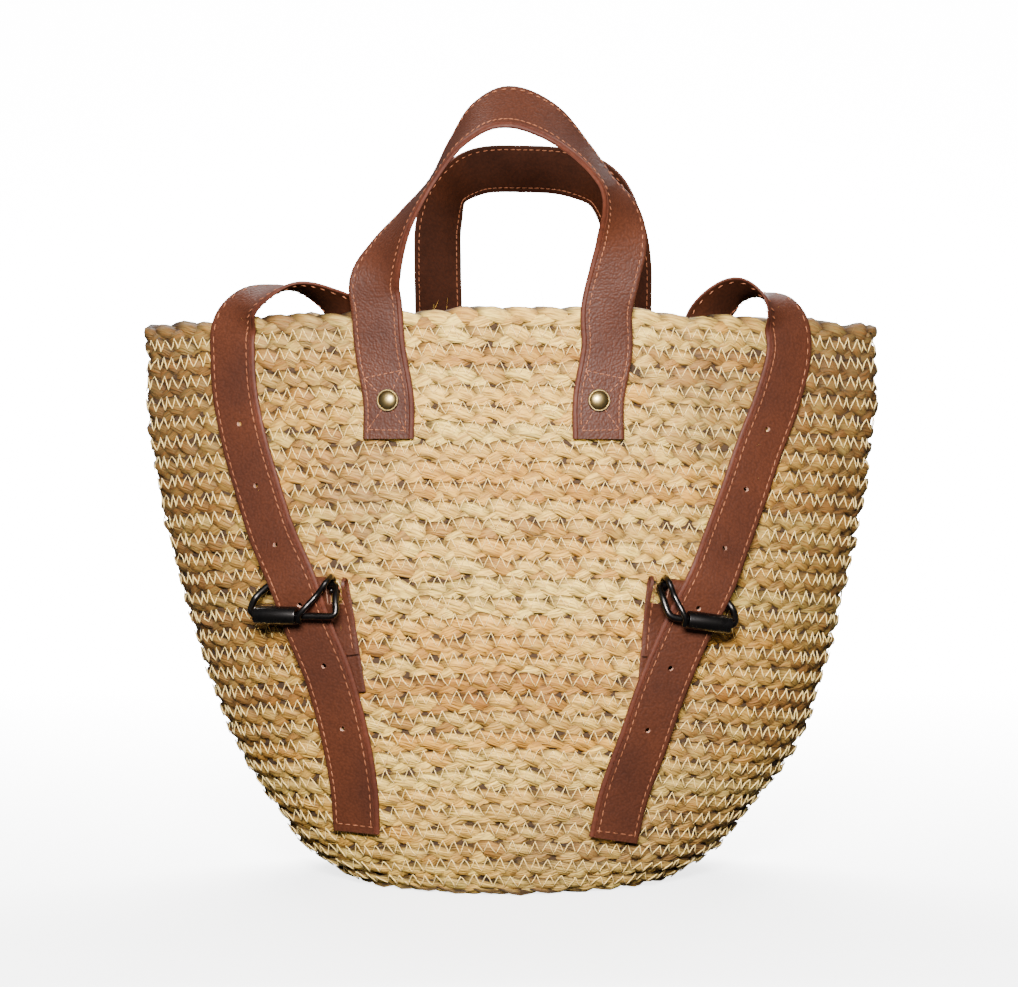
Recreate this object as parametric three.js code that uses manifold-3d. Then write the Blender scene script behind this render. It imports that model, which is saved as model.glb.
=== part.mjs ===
// Woven straw backpack: a sewn basket of plaited straw with two leather hand handles
// and two buckled leather shoulder straps. Millimetres, +Z up, front towards -Y,
// origin at the centre of the base's underside.
import * as THREE from "three";
import { mergeVertices } from "three/addons/utils/BufferGeometryUtils.js";
import Module from "manifold-3d";

const wasm = await Module();
wasm.setup();

// Basket
const rimHeight = 310;
const widestHalf = 201;
const deepestHalf = 76;
const wall = 5.5;
const cornerDroop = 9;
const rowPitch = 10;
const grooveDepth = 1.5;
const sides = 32;

// Rim braid, one row of thicker plait that is sewn on top of the basket
const rimTall = 10;
const rimThick = 8;
const lobePitch = 14.5;
const lobeSwell = 0.08;
const rimCorners = 6;

// Leather
const handleWidth = 27;
const handleThick = 2.8;
const strapWidth = 27;
const strapThick = 2.4;
const tabWidth = 24;
const tabThick = 1.6;
const handleSteps = 42;
const strapSteps = 46;
const tabSteps = 28;
const punchRadius = 1.4;
const punchFacets = 6;
const punchCount = 6;
const punchPitch = 34.8;
const leftPunchFromEnd = 57.6;
const rightPunchFromEnd = 62;

// Hand handles
const legSpacing = 109;
const frontHandleMid = -9.5;
const backHandleMid = 12.5;
const frontHandleRise = 104;
const backHandleRise = 84;
const rivetBelowRim = 47;
const legEndBelowRim = 67;
const handleLean = 14;

// Rivets
const capRadius = 5.9;
const capTall = 3;
const postRadius = 1.6;
const washerRadius = 4.6;
const washerThick = 1.2;
const rivetFacets = 10;
const postHoleFacets = 12;

// Shoulder straps; past the rivet is how far the inner end keeps from the front handle's washer
const archRise = 14;
const leftPastRivet = 3;
const rightPastRivet = 40.8;
const innerEndBelowRim = 55;

// Buckles
const wireRadius = 2;
const wireFacets = 6;
const loopSteps = 40;
const prongSteps = 24;
const rollerRadius = 4.7;
const rollerLength = 23.5;
const rollerFacets = 12;
const prongRadius = 1.3;
const slotWidth = 8.6;
const slotLength = 15;
const barDrop = 16;
const leftReach = 42.1;
const rightReach = 38.6;
const leftCornerIn = 6.8;
const rightCornerOut = 1.8;
const hingeShort = 8.5;
const armIn = 3.9;
const slotIn = 2.6;
const tabShift = 3.5;
const cornerRadius = 3;
const tabLength = 58;
const tabTurnedIn = 38;
const overFold = 1.1;
const underBar = 0.8;

// Clearances
const gap = 0.4;
const bearingGap = 0.3;

// Plan sections of the basket: up is the share of the rim's height, wide and deep the
// shares of the widest half-width and deepest half-depth, point how far the ends are
// drawn to a point (1 is an ellipse) and lean the sideways shift.
const basketSections = [
  { up: 0.0, wide: 0.438, deep: 0.765, point: 0.9, lean: 0.0 },
  { up: 0.02, wide: 0.485, deep: 0.81, point: 0.9, lean: 0.0 },
  { up: 0.055, wide: 0.563, deep: 0.868, point: 0.92, lean: 0.0 },
  { up: 0.126, wide: 0.652, deep: 0.92, point: 0.95, lean: 0.004 },
  { up: 0.232, wide: 0.764, deep: 0.967, point: 1.0, lean: 0.014 },
  { up: 0.374, wide: 0.846, deep: 1.0, point: 1.1, lean: 0.012 },
  { up: 0.516, wide: 0.906, deep: 1.0, point: 1.2, lean: 0.004 },
  { up: 0.658, wide: 0.956, deep: 0.965, point: 1.33, lean: 0.001 },
  { up: 0.8, wide: 0.988, deep: 0.915, point: 1.48, lean: 0.0 },
  { up: 0.89, wide: 1.0, deep: 0.885, point: 1.58, lean: 0.0 },
  { up: 1.0, wide: 0.992, deep: 0.855, point: 1.7, lean: 0.0 },
];

// Inside of the basket: thick is the share of the wall, more where the side slopes.
const insideSections = [
  { up: 1.0, thick: 1.0 },
  { up: 0.8, thick: 1.0 },
  { up: 0.6, thick: 1.0 },
  { up: 0.42, thick: 1.04 },
  { up: 0.26, thick: 1.12 },
  { up: 0.13, thick: 1.3 },
  { up: 0.06, thick: 1.6 },
  { up: 0.02, thick: 2.0 },
];

// Hand handles above the rim: out is the share of half the leg spacing, rise the share
// of the handle's rise, lean the share of its lean, and side, front and top the way
// that the finished face looks.
const frontHandleBends = [
  { out: -1.12, rise: 0.02, lean: 0.1, side: -0.12, front: 1, top: 0 },
  { out: -1.14, rise: 0.13, lean: 0.2, side: -0.18, front: 1, top: 0.05 },
  { out: -1.03, rise: 0.28, lean: 0.3, side: -0.55, front: 0.7, top: 0.3 },
  { out: -0.84, rise: 0.45, lean: 0.45, side: -0.7, front: 0.36, top: 0.6 },
  { out: -0.58, rise: 0.64, lean: 0.6, side: -0.8, front: 0.12, top: 0.55 },
  { out: -0.35, rise: 0.83, lean: 0.75, side: -0.7, front: 0.28, top: 0.6 },
  { out: -0.1, rise: 0.96, lean: 0.9, side: -0.3, front: 0.64, top: 0.7 },
  { out: 0.15, rise: 1.0, lean: 1.0, side: 0.05, front: 0.82, top: 0.57 },
  { out: 0.49, rise: 0.94, lean: 0.9, side: 0.35, front: 0.72, top: 0.6 },
  { out: 0.83, rise: 0.79, lean: 0.75, side: 0.66, front: 0.42, top: 0.6 },
  { out: 1.06, rise: 0.64, lean: 0.6, side: 0.8, front: 0.32, top: 0.48 },
  { out: 1.2, rise: 0.49, lean: 0.45, side: 0.58, front: 0.7, top: 0.3 },
  { out: 1.22, rise: 0.34, lean: 0.3, side: 0.25, front: 0.95, top: 0.1 },
  { out: 1.15, rise: 0.17, lean: 0.2, side: 0.08, front: 1, top: 0 },
  { out: 1.08, rise: 0.0, lean: 0.1, side: 0.08, front: 1, top: 0 },
];
const backHandleBends = [
  { out: -1.0, rise: 0.02, lean: 0.1, side: -0.1, front: 1, top: 0 },
  { out: -1.01, rise: 0.35, lean: 0.35, side: -0.1, front: 1, top: 0 },
  { out: -1.0, rise: 0.62, lean: 0.55, side: -0.25, front: 1, top: 0.1 },
  { out: -0.88, rise: 0.86, lean: 0.75, side: -0.45, front: 0.8, top: 0.4 },
  { out: -0.6, rise: 0.98, lean: 0.95, side: -0.15, front: 1, top: 0.2 },
  { out: -0.1, rise: 1.0, lean: 1.0, side: 0, front: 1, top: 0.05 },
  { out: 0.4, rise: 0.97, lean: 1.0, side: 0.05, front: 1, top: 0.1 },
  { out: 0.74, rise: 0.87, lean: 0.9, side: 0.35, front: 0.9, top: 0.3 },
  { out: 0.92, rise: 0.66, lean: 0.7, side: 0.45, front: 0.85, top: 0.2 },
  { out: 1.0, rise: 0.36, lean: 0.4, side: 0.15, front: 1, top: 0 },
  { out: 1.0, rise: 0.02, lean: 0.1, side: 0.1, front: 1, top: 0 },
];

// Shoulder straps down the front, from the tail's end up to the rim: up is the share of
// the rim's height, out the share of the widest half-width, and off how far the strap is
// lifted off the wall, as a share of what the buckle's fold needs.
const leftFrontRun = [
  { up: 0.113, out: 0.402, off: 0.25 },
  { up: 0.19, out: 0.411, off: 0.1 },
  { up: 0.29, out: 0.435, off: 0.22 },
  { up: 0.386, out: 0.471, off: 0.42 },
  { up: 0.47, out: 0.518, off: 0.7 },
  { up: 0.545, out: 0.551, off: overFold },
  { up: 0.62, out: 0.613, off: 0.6 },
  { up: 0.7, out: 0.664, off: 0.16 },
  { up: 0.78, out: 0.704, off: 0.02 },
  { up: 0.86, out: 0.73, off: 0.0 },
  { up: 0.925, out: 0.738, off: 0.02 },
];
const rightFrontRun = [
  { up: 0.105, out: 0.262, off: 0.25 },
  { up: 0.18, out: 0.29, off: 0.1 },
  { up: 0.27, out: 0.337, off: 0.22 },
  { up: 0.36, out: 0.381, off: 0.42 },
  { up: 0.46, out: 0.442, off: 0.66 },
  { up: 0.545, out: 0.5, off: overFold },
  { up: 0.615, out: 0.551, off: 0.6 },
  { up: 0.685, out: 0.601, off: 0.16 },
  { up: 0.76, out: 0.645, off: 0.02 },
  { up: 0.85, out: 0.7, off: 0.0 },
  { up: 0.925, out: 0.732, off: 0.02 },
];

// Arch of a shoulder strap over the rim: along is the share of the arch's sideways
// reach, over the share of the way from outside the wall to inside it, rise the share of
// the arch's rise above the rim, turn the way that the finished face looks, from 0 for
// forwards through 90 for upwards to 180 for backwards, and slant its outward share.
const leftArchBends = [
  { along: 0.0, over: 0.0, rise: -0.7, turn: 6, slant: 0.42 },
  { along: 0.1, over: 0.12, rise: 0.2, turn: 38, slant: 0.55 },
  { along: 0.3, over: 0.42, rise: 0.68, turn: 72, slant: 0.45 },
  { along: 0.56, over: 0.74, rise: 0.86, turn: 100, slant: 0 },
  { along: 0.8, over: 0.98, rise: 0.45, turn: 122, slant: -0.5 },
  { along: 0.95, over: 1.2, rise: -0.15, turn: 150, slant: -0.3 },
];
const rightArchBends = [
  { along: 0.0, over: 0.0, rise: -0.7, turn: 6, slant: 0.42 },
  { along: 0.1, over: 0.15, rise: 0.05, turn: 38, slant: 0.5 },
  { along: 0.32, over: 0.5, rise: 0.58, turn: 86, slant: 0.42 },
  { along: 0.62, over: 0.9, rise: 0.72, turn: 124, slant: 0 },
  { along: 0.88, over: 1.2, rise: 0.2, turn: 146, slant: -0.4 },
  { along: 0.98, over: 1.3, rise: -0.45, turn: 165, slant: -0.2 },
];

const straw = { color: 0xcfb27c, roughness: 0.9, metalness: 0 };
const leather = { color: 0x824c38, roughness: 0.6, metalness: 0 };
const brass = { color: 0x8a7443, roughness: 0.4, metalness: 1 };
const gunmetal = { color: 0x2c2a2a, roughness: 0.35, metalness: 1 };

const foldRadius = wireRadius + bearingGap + tabThick;
const prongRing = wireRadius + 2 * bearingGap + prongRadius;
const hingeOff = gap + prongRing + prongRadius;
const strapLift = hingeOff + foldRadius;
const barOff = underBar * strapLift + strapThick + rollerRadius + 2 * gap;
const rimBottom = rimHeight - rimTall;
const rimProud = (rimThick - wall) / 2;
const legHalf = legSpacing / 2;

// Smooth value of one column of a table at a share of the height.
function readColumn(rows, name, up) {
  const last = rows.length - 1;
  const place = THREE.MathUtils.clamp(up, rows[0].up, rows[last].up);
  let i = 0;
  while (i < last - 1 && place > rows[i + 1].up) i += 1;
  const slope = (j) => {
    const before = rows[Math.max(j - 1, 0)];
    const after = rows[Math.min(j + 1, last)];
    return (after[name] - before[name]) / (after.up - before.up);
  };
  const span = rows[i + 1].up - rows[i].up;
  const t = (place - rows[i].up) / span;
  const rise = rows[i + 1][name] - rows[i][name];
  const bend = slope(i) * span * t * (1 - t) ** 2 - slope(i + 1) * span * t * t * (1 - t);
  return rows[i][name] + rise * t * t * (3 - 2 * t) + bend;
}

// Point of the basket at an angle round it and a height, set in from its outside.
function basketPoint(angle, height, inset) {
  const up = height / rimHeight;
  const halfWidth = widestHalf * readColumn(basketSections, "wide", up) - inset;
  const halfDepth = deepestHalf * readColumn(basketSections, "deep", up) - inset;
  const shift = widestHalf * readColumn(basketSections, "lean", up);
  const point = readColumn(basketSections, "point", up);
  const x = shift + halfWidth * Math.cos(angle);
  const y = halfDepth * Math.sign(Math.sin(angle)) * Math.abs(Math.sin(angle)) ** point;
  const z = height - cornerDroop * up * up * Math.cos(angle) ** 2;
  return new THREE.Vector3(x, y, z);
}

// Point of the wall at x and z, on the front (side -1) or the back (side 1), and the
// way that the wall faces there.
function wallSpot(x, z, side, inset = 0) {
  const up = z / rimHeight;
  const halfWidth = widestHalf * readColumn(basketSections, "wide", up) - inset;
  const shift = widestHalf * readColumn(basketSections, "lean", up);
  const cosine = THREE.MathUtils.clamp((x - shift) / halfWidth, -1, 1);
  const angle = side * Math.acos(cosine);
  const height = z + cornerDroop * (up * cosine) ** 2;
  const step = 0.02;
  const around = basketPoint(angle + step, height, inset);
  around.sub(basketPoint(angle - step, height, inset));
  const upwards = basketPoint(angle, height + 1, inset);
  upwards.sub(basketPoint(angle, height - 1, inset));
  const face = around.cross(upwards).normalize();
  return { at: basketPoint(angle, height, inset), face };
}

// Place on the outside of the wall, lifted off it.
function outsideSpot(x, z, side, lift) {
  const spot = wallSpot(x, z, side);
  return { at: spot.at.addScaledVector(spot.face, lift), face: spot.face };
}

// Place on the inside of the wall, with the finished face towards the hollow.
function insideSpot(x, z, side, lift) {
  const spot = wallSpot(x, z, side, wall);
  const face = spot.face.negate();
  return { at: spot.at.addScaledVector(face, lift), face };
}

// Closed mesh as a solid that can be cut, and back again.
function solidFrom(geometry) {
  const bare = geometry.clone();
  bare.deleteAttribute("normal");
  bare.deleteAttribute("uv");
  const merged = mergeVertices(bare, 1e-3);
  const vertProperties = merged.attributes.position.array;
  const triVerts = new Uint32Array(merged.index.array);
  return new wasm.Manifold(new wasm.Mesh({ numProp: 3, vertProperties, triVerts }));
}

function geometryFrom(solid) {
  const mesh = solid.getMesh();
  const geometry = new THREE.BufferGeometry();
  geometry.setAttribute("position", new THREE.BufferAttribute(mesh.vertProperties, 3));
  geometry.setIndex(new THREE.BufferAttribute(mesh.triVerts, 1));
  geometry.computeVertexNormals();
  return geometry;
}

function withCuts(geometry, cutters) {
  const cut = cutters.reduce((solid, cutter) => solid.subtract(solidFrom(cutter)), solidFrom(geometry));
  return geometryFrom(cut);
}

// Turns a shape that was made along Y so that it points along a direction, at a place.
function pointed(geometry, at, direction) {
  const turn = new THREE.Quaternion().setFromUnitVectors(new THREE.Vector3(0, 1, 0), direction);
  return geometry.applyQuaternion(turn).translate(at.x, at.y, at.z);
}

function pin(at, direction, radius, length, facets) {
  return pointed(new THREE.CylinderGeometry(radius, radius, length, facets), at, direction);
}

// Turns the rings of a lathe into plan sections: place(angle, row) gives each point.
function warpedLathe(profile, segments, angles, place) {
  const geometry = new THREE.LatheGeometry(profile, segments);
  const position = geometry.attributes.position;
  for (let i = 0; i <= segments; i += 1) {
    for (let j = 0; j < profile.length; j += 1) {
      const point = place(angles(i), j, i % segments);
      position.setXYZ(i * profile.length + j, point.x, point.y, point.z);
    }
  }
  return geometry;
}

// Basket shell: a flat base, an outside ribbed by the rows of plait and a plain inside.
function basketGeometry() {
  const rows = Math.round(rimBottom / rowPitch);
  const top = rimBottom - gap;
  const rings = [{ height: 0, inset: grooveDepth, reach: 0 }];
  for (let row = 0; row < rows; row += 1) {
    rings.push({ height: (top * row) / rows, inset: grooveDepth, reach: 1 });
    rings.push({ height: (top * (row + 0.5)) / rows, inset: 0, reach: 1 });
  }
  rings.push({ height: top, inset: grooveDepth, reach: 1 });
  for (const section of insideSections) {
    const height = wall + (top - wall) * section.up;
    rings.push({ height: section.up === 1 ? top : height, inset: wall * section.thick, reach: 1 });
  }
  const floor = rings[rings.length - 1];
  rings.push({ height: floor.height, inset: floor.inset, reach: 0 });
  const profile = rings.map((ring) => new THREE.Vector2(ring.reach, ring.height));
  const angles = (i) => (2 * Math.PI * (i % sides)) / sides - Math.PI / 2;
  return warpedLathe(profile, sides, angles, (angle, j) => {
    const ring = rings[j];
    const point = basketPoint(angle, ring.height, ring.inset);
    const middle = new THREE.Vector3(0, 0, ring.height);
    return middle.lerp(point, ring.reach);
  });
}

// Angles that divide the rim into steps of equal length, and that length.
function evenAngles(pitch) {
  const fine = 720;
  const lengths = [0];
  const angleOf = (k) => (2 * Math.PI * k) / fine - Math.PI / 2;
  for (let k = 1; k <= fine; k += 1) {
    const from = basketPoint(angleOf(k - 1), rimHeight, wall / 2);
    lengths.push(lengths[k - 1] + from.distanceTo(basketPoint(angleOf(k), rimHeight, wall / 2)));
  }
  const count = 2 * Math.round(lengths[fine] / pitch);
  const angles = [];
  let k = 0;
  for (let i = 0; i < count; i += 1) {
    const goal = (lengths[fine] * i) / count;
    while (lengths[k + 1] < goal) k += 1;
    angles.push(angleOf(k + (goal - lengths[k]) / (lengths[k + 1] - lengths[k])));
  }
  return angles;
}

function rimGeometry() {
  const angles = evenAngles(lobePitch);
  const profile = [];
  for (let j = 0; j <= rimCorners; j += 1) {
    const turn = (2 * Math.PI * (j % rimCorners)) / rimCorners - Math.PI / 2;
    profile.push(new THREE.Vector2(Math.cos(turn), Math.sin(turn)));
  }
  return warpedLathe(profile, angles.length, (i) => angles[i % angles.length], (angle, j, i) => {
    const swell = i % 2 === 0 ? 1 : 1 - lobeSwell;
    const outwards = (profile[j].x * rimThick * swell) / 2;
    const upwards = (profile[j].y * rimTall * swell) / 2;
    return basketPoint(angle, rimHeight - rimTall / 2 + upwards, wall / 2 - outwards);
  });
}

// Smooth route of a strap through rows of places and faces.
function strapRoute(rows) {
  const centres = new THREE.CatmullRomCurve3(rows.map((row) => row.at));
  const faces = new THREE.CatmullRomCurve3(rows.map((row) => row.face));
  return (t) => {
    const at = centres.getPoint(t);
    const along = centres.getTangent(t);
    const face = faces.getPoint(t);
    face.addScaledVector(along, -face.dot(along)).normalize();
    const across = new THREE.Vector3().crossVectors(face, along);
    return { at, along, face, across };
  };
}

// Flat strap: a long box that is bent along the route.
function strapGeometry(route, width, thick, steps) {
  const geometry = new THREE.BoxGeometry(width, thick, 1, 1, 1, steps);
  const position = geometry.attributes.position;
  for (let i = 0; i < position.count; i += 1) {
    const spot = route(THREE.MathUtils.clamp(position.getZ(i) + 0.5, 0, 1));
    const point = spot.at.clone().addScaledVector(spot.across, position.getX(i));
    point.addScaledVector(spot.face, position.getY(i));
    position.setXYZ(i, point.x, point.y, point.z);
  }
  return geometry;
}

// Punched holes, counted up from the tail's end.
function punchCutters(route, fromEnd) {
  const samples = 400;
  const cutters = [];
  let walked = 0;
  let before = route(0).at;
  for (let i = 1; i <= samples && cutters.length < punchCount; i += 1) {
    const spot = route(i / samples);
    walked += spot.at.distanceTo(before);
    before = spot.at;
    if (walked >= fromEnd + punchPitch * cutters.length)
      cutters.push(pin(spot.at, spot.face, punchRadius, 4 * strapThick, punchFacets));
  }
  return cutters;
}

// Place of one leg of a handle on the wall, at a height.
function legSpot(handle, end, z, out = 1, proud = 0) {
  const lift = gap + proud + handleThick / 2;
  return outsideSpot(handle.mid + end * out * legHalf, z, handle.side, lift);
}

function handleRoute(handle) {
  const foot = rimHeight - legEndBelowRim;
  const rivet = rimHeight - rivetBelowRim;
  const leg = (end) => [
    legSpot(handle, end, foot),
    legSpot(handle, end, rivet),
    legSpot(handle, end, rimBottom - rimTall, handle.spread, rimProud / 2),
  ];
  const stems = [-1, 1].map((end) => legSpot(handle, end, rimHeight, handle.spread, rimProud).at.y);
  const loop = handle.bends.map((bend) => {
    const x = handle.mid + bend.out * legHalf;
    const stem = THREE.MathUtils.lerp(stems[0], stems[1], (bend.out + 1) / 2);
    const y = stem + handle.side * bend.lean * handleLean;
    const at = new THREE.Vector3(x, y, rimHeight + bend.rise * handle.rise);
    return { at, face: new THREE.Vector3(bend.side, handle.side * bend.front, bend.top) };
  });
  return strapRoute([...leg(-1), ...loop, ...leg(1).reverse()]);
}

// Shoulder strap: up the front over the buckle, over the rim and down inside.
function shoulderRoute(strap) {
  const half = strapThick / 2;
  const run = strap.run.map((row) => {
    const x = strap.side * widestHalf * row.out;
    return outsideSpot(x, rimHeight * row.up, -1, gap + half + strapLift * row.off);
  });
  const crossing = widestHalf * strap.run[strap.run.length - 1].out;
  const rivetOut = legHalf + strap.side * frontHandleMid;
  const innerOut = rivetOut + washerRadius + strap.pastRivet + strapWidth / 2;
  const arch = strap.bends.map((bend) => {
    const x = strap.side * THREE.MathUtils.lerp(crossing, innerOut, bend.along);
    const outside = outsideSpot(x, rimBottom, -1, gap + half + rimProud).at.y;
    const inside = insideSpot(x, rimBottom, -1, gap + half + rimProud).at.y;
    const y = THREE.MathUtils.lerp(outside, inside, bend.over);
    const turn = THREE.MathUtils.degToRad(bend.turn);
    const at = new THREE.Vector3(x, y, rimHeight + bend.rise * archRise);
    const face = new THREE.Vector3(strap.side * bend.slant, -Math.cos(turn), Math.sin(turn));
    return { at, face };
  });
  const inner = [0.3, 0.6, 1].map((share) => {
    const z = rimHeight - innerEndBelowRim * share;
    return insideSpot(strap.side * innerOut, z, -1, gap + half + rimProud);
  });
  return strapRoute([...run, ...arch, ...inner]);
}

// Rivet: a domed cap outside, a post through the leather and the wall, a washer inside.
function rivetGeometry(spot, throughLength) {
  const inside = -throughLength;
  const profile = [
    new THREE.Vector2(0, inside - washerThick),
    new THREE.Vector2(washerRadius, inside - washerThick),
    new THREE.Vector2(washerRadius, inside),
    new THREE.Vector2(postRadius, inside),
    new THREE.Vector2(postRadius, 0),
    new THREE.Vector2(capRadius, 0),
    new THREE.Vector2(capRadius * 0.95, capTall * 0.35),
    new THREE.Vector2(capRadius * 0.7, capTall * 0.8),
    new THREE.Vector2(0, capTall),
  ];
  return pointed(new THREE.LatheGeometry(profile, rivetFacets), spot.at, spot.face);
}

// Place in a buckle: out from the tab's middle towards the side of the basket, up from
// the hinge bar, and off the wall.
function bucklePlace(buckle) {
  const spot = wallSpot(buckle.side * widestHalf * buckle.outShare, rimHeight * buckle.upShare, -1);
  const outwards = new THREE.Vector3(buckle.side, 0, 0);
  outwards.addScaledVector(spot.face, -outwards.dot(spot.face)).normalize();
  outwards.applyAxisAngle(spot.face, buckle.tilt);
  const upwards = spot.face.clone().cross(outwards);
  upwards.multiplyScalar(Math.sign(upwards.z));
  const place = (out, up, off) =>
    spot.at
      .clone()
      .addScaledVector(outwards, out)
      .addScaledVector(upwards, up)
      .addScaledVector(spot.face, off);
  return { place, outwards, upwards, face: spot.face };
}

// Closed wire loop: straight sides and rounded corners.
function loopGeometry(corners, radius) {
  const path = new THREE.CurvePath();
  const count = corners.length;
  const near = (from, to) => from.clone().add(to.clone().sub(from).setLength(cornerRadius));
  corners.forEach((corner, i) => {
    const before = corners[(i + count - 1) % count];
    const after = corners[(i + 1) % count];
    path.add(new THREE.QuadraticBezierCurve3(near(corner, before), corner, near(corner, after)));
    path.add(new THREE.LineCurve3(near(corner, after), near(after, corner)));
  });
  return new THREE.TubeGeometry(path, loopSteps, radius, wireFacets, true);
}

function wireGeometry(points, radius) {
  const section = new THREE.Shape();
  section.absarc(0, 0, radius, 0, 2 * Math.PI);
  const curve = new THREE.CatmullRomCurve3(points);
  return new THREE.ExtrudeGeometry(section, {
    steps: prongSteps,
    curveSegments: wireFacets / 2,
    bevelEnabled: false,
    extrudePath: curve,
  });
}

function frameGeometry(buckle) {
  const { place } = bucklePlace(buckle);
  const { reach, corner } = buckle;
  return loopGeometry(
    [
      place(-armIn, 0, hingeOff),
      place(reach - hingeShort, 0, hingeOff),
      place(reach, -0.5 * barDrop, 0.75 * hingeOff + 0.25 * barOff),
      place(reach, -barDrop, barOff),
      place(corner, -barDrop, barOff),
      place(0.3 * corner - 0.7 * armIn, -0.4 * barDrop, 0.3 * hingeOff + 0.7 * barOff),
    ],
    wireRadius,
  );
}

// Roller: a sleeve that turns on the outer part of the front bar.
function rollerGeometry(buckle) {
  const { place, outwards } = bucklePlace(buckle);
  const middle = buckle.reach - cornerRadius - gap - rollerLength / 2;
  const inner = wireRadius + bearingGap;
  const profile = [
    new THREE.Vector2(inner, -rollerLength / 2),
    new THREE.Vector2(rollerRadius, -rollerLength / 2),
    new THREE.Vector2(rollerRadius, rollerLength / 2),
    new THREE.Vector2(inner, rollerLength / 2),
    new THREE.Vector2(inner, -rollerLength / 2),
  ];
  return pointed(new THREE.LatheGeometry(profile, rollerFacets), place(middle, -barDrop, barOff), outwards);
}

// Prong: hooked round the hinge bar, out of the tab's slot, over the strap and down over
// the front bar beside the roller.
function prongGeometry(buckle) {
  const { place } = bucklePlace(buckle);
  const overStrap = overFold * strapLift + 3 * gap + strapThick + prongRadius;
  const overBar = barOff + prongRing;
  const tip = buckle.reach - cornerRadius - 2 * gap - rollerLength - prongRadius - bearingGap;
  return wireGeometry(
    [
      place(0, -prongRing, hingeOff),
      place(0, -0.7 * prongRing, hingeOff - 0.7 * prongRing),
      place(0, 0, hingeOff - prongRing),
      place(0, 0.7 * prongRing, hingeOff - 0.7 * prongRing),
      place(0, prongRing, hingeOff),
      place(-0.1 * tip, prongRing, (hingeOff + overStrap) / 2),
      place(-0.05 * tip, 0.4 * prongRing, overStrap),
      place(0.3 * tip, -0.3 * barDrop, overStrap + 0.3 * wireRadius),
      place(0.75 * tip, -0.75 * barDrop, overBar),
      place(tip, -barDrop, overBar),
      place(tip, -barDrop - 0.9 * prongRing, barOff + 0.5 * prongRing),
    ],
    prongRadius,
  );
}

// Tab: leather folded over the hinge bar, with a slot for the prong.
function tabGeometry(buckle) {
  const { place, upwards, face } = bucklePlace(buckle);
  const mid = wireRadius + bearingGap + tabThick / 2;
  const hanging = (down, layer) => {
    const out = THREE.MathUtils.lerp(
      widestHalf * buckle.outShare + tabShift,
      widestHalf * buckle.endShare,
      down / tabLength,
    );
    const x = buckle.side * out;
    const lift = gap + tabThick / 2 + layer * (tabThick + bearingGap);
    return outsideSpot(x, rimHeight * buckle.upShare - down, -1, lift);
  };
  const back = (down) => {
    const spot = hanging(down, 0);
    return { at: spot.at, face: spot.face.negate() };
  };
  const rows = [
    hanging(tabTurnedIn, 1),
    hanging(tabTurnedIn / 2, 1),
    { at: place(tabShift, -0.9 * prongRing, hingeOff + mid * 0.8), face: face.clone() },
    { at: place(tabShift, 0, hingeOff + mid), face: face.clone() },
    { at: place(tabShift, 0.7 * mid, hingeOff + 0.7 * mid), face: face.clone().add(upwards) },
    { at: place(tabShift, mid, hingeOff), face: upwards.clone() },
    { at: place(tabShift, 0.7 * mid, hingeOff - 0.7 * mid), face: upwards.clone().sub(face) },
    { at: place(tabShift, 0, hingeOff - mid), face: face.clone().negate() },
    back(tabTurnedIn / 2),
    back(tabTurnedIn),
    back(tabLength),
  ];
  const tab = strapGeometry(strapRoute(rows), tabWidth, tabThick, tabSteps);
  const slot = new THREE.BoxGeometry(slotWidth, slotLength, 4 * foldRadius);
  const side = new THREE.Vector3().crossVectors(upwards, face);
  slot.applyMatrix4(new THREE.Matrix4().makeBasis(side, upwards, face));
  const middle = place(-slotIn, foldRadius + gap - slotLength / 2 + gap, hingeOff);
  slot.translate(middle.x, middle.y, middle.z);
  return withCuts(tab, [slot]);
}

const frontHandle = {
  bends: frontHandleBends,
  mid: frontHandleMid,
  rise: frontHandleRise,
  side: -1,
  spread: 1.08,
};
const backHandle = {
  bends: backHandleBends,
  mid: backHandleMid,
  rise: backHandleRise,
  side: 1,
  spread: 1,
};
const leftStrap = {
  run: leftFrontRun,
  bends: leftArchBends,
  pastRivet: leftPastRivet,
  side: -1,
  punchFromEnd: leftPunchFromEnd,
};
const rightStrap = {
  run: rightFrontRun,
  bends: rightArchBends,
  pastRivet: rightPastRivet,
  side: 1,
  punchFromEnd: rightPunchFromEnd,
};
// A buckle sits at a share of the rim's height and of the widest half-width, as its strap does.
const leftBuckle = {
  side: -1,
  upShare: 0.5387,
  outShare: 0.462,
  tilt: 0,
  endShare: 0.4355,
  reach: leftReach,
  corner: -leftCornerIn,
};
const rightBuckle = {
  side: 1,
  upShare: 0.5387,
  outShare: 0.39,
  tilt: -0.14,
  endShare: 0.383,
  reach: rightReach,
  corner: rightCornerOut,
};

const group = new THREE.Group();

function addMesh(name, geometry, material) {
  const mesh = new THREE.Mesh(geometry, new THREE.MeshStandardMaterial(material));
  mesh.name = name;
  group.add(mesh);
}

// Handles with their rivets; the posts pass through the leather and the wall.
const wallHoles = [];
for (const [name, handle] of [["front", frontHandle], ["back", backHandle]]) {
  const holes = [];
  for (const [end, sign] of [["left", -1], ["right", 1]]) {
    const x = handle.mid + sign * legHalf;
    const spot = outsideSpot(x, rimHeight - rivetBelowRim, handle.side, 2 * gap + handleThick);
    const through = 3 * gap + handleThick + wall;
    const hole = pin(spot.at, spot.face, postRadius + bearingGap, 4 * through, postHoleFacets);
    holes.push(hole);
    wallHoles.push(hole);
    addMesh(`rivet_${name}_${end}`, rivetGeometry(spot, through), brass);
  }
  const band = strapGeometry(handleRoute(handle), handleWidth, handleThick, handleSteps);
  addMesh(`handle_${name}`, withCuts(band, holes), leather);
}

addMesh("basket", withCuts(basketGeometry(), wallHoles), straw);
addMesh("rim_braid", rimGeometry(), straw);

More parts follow.
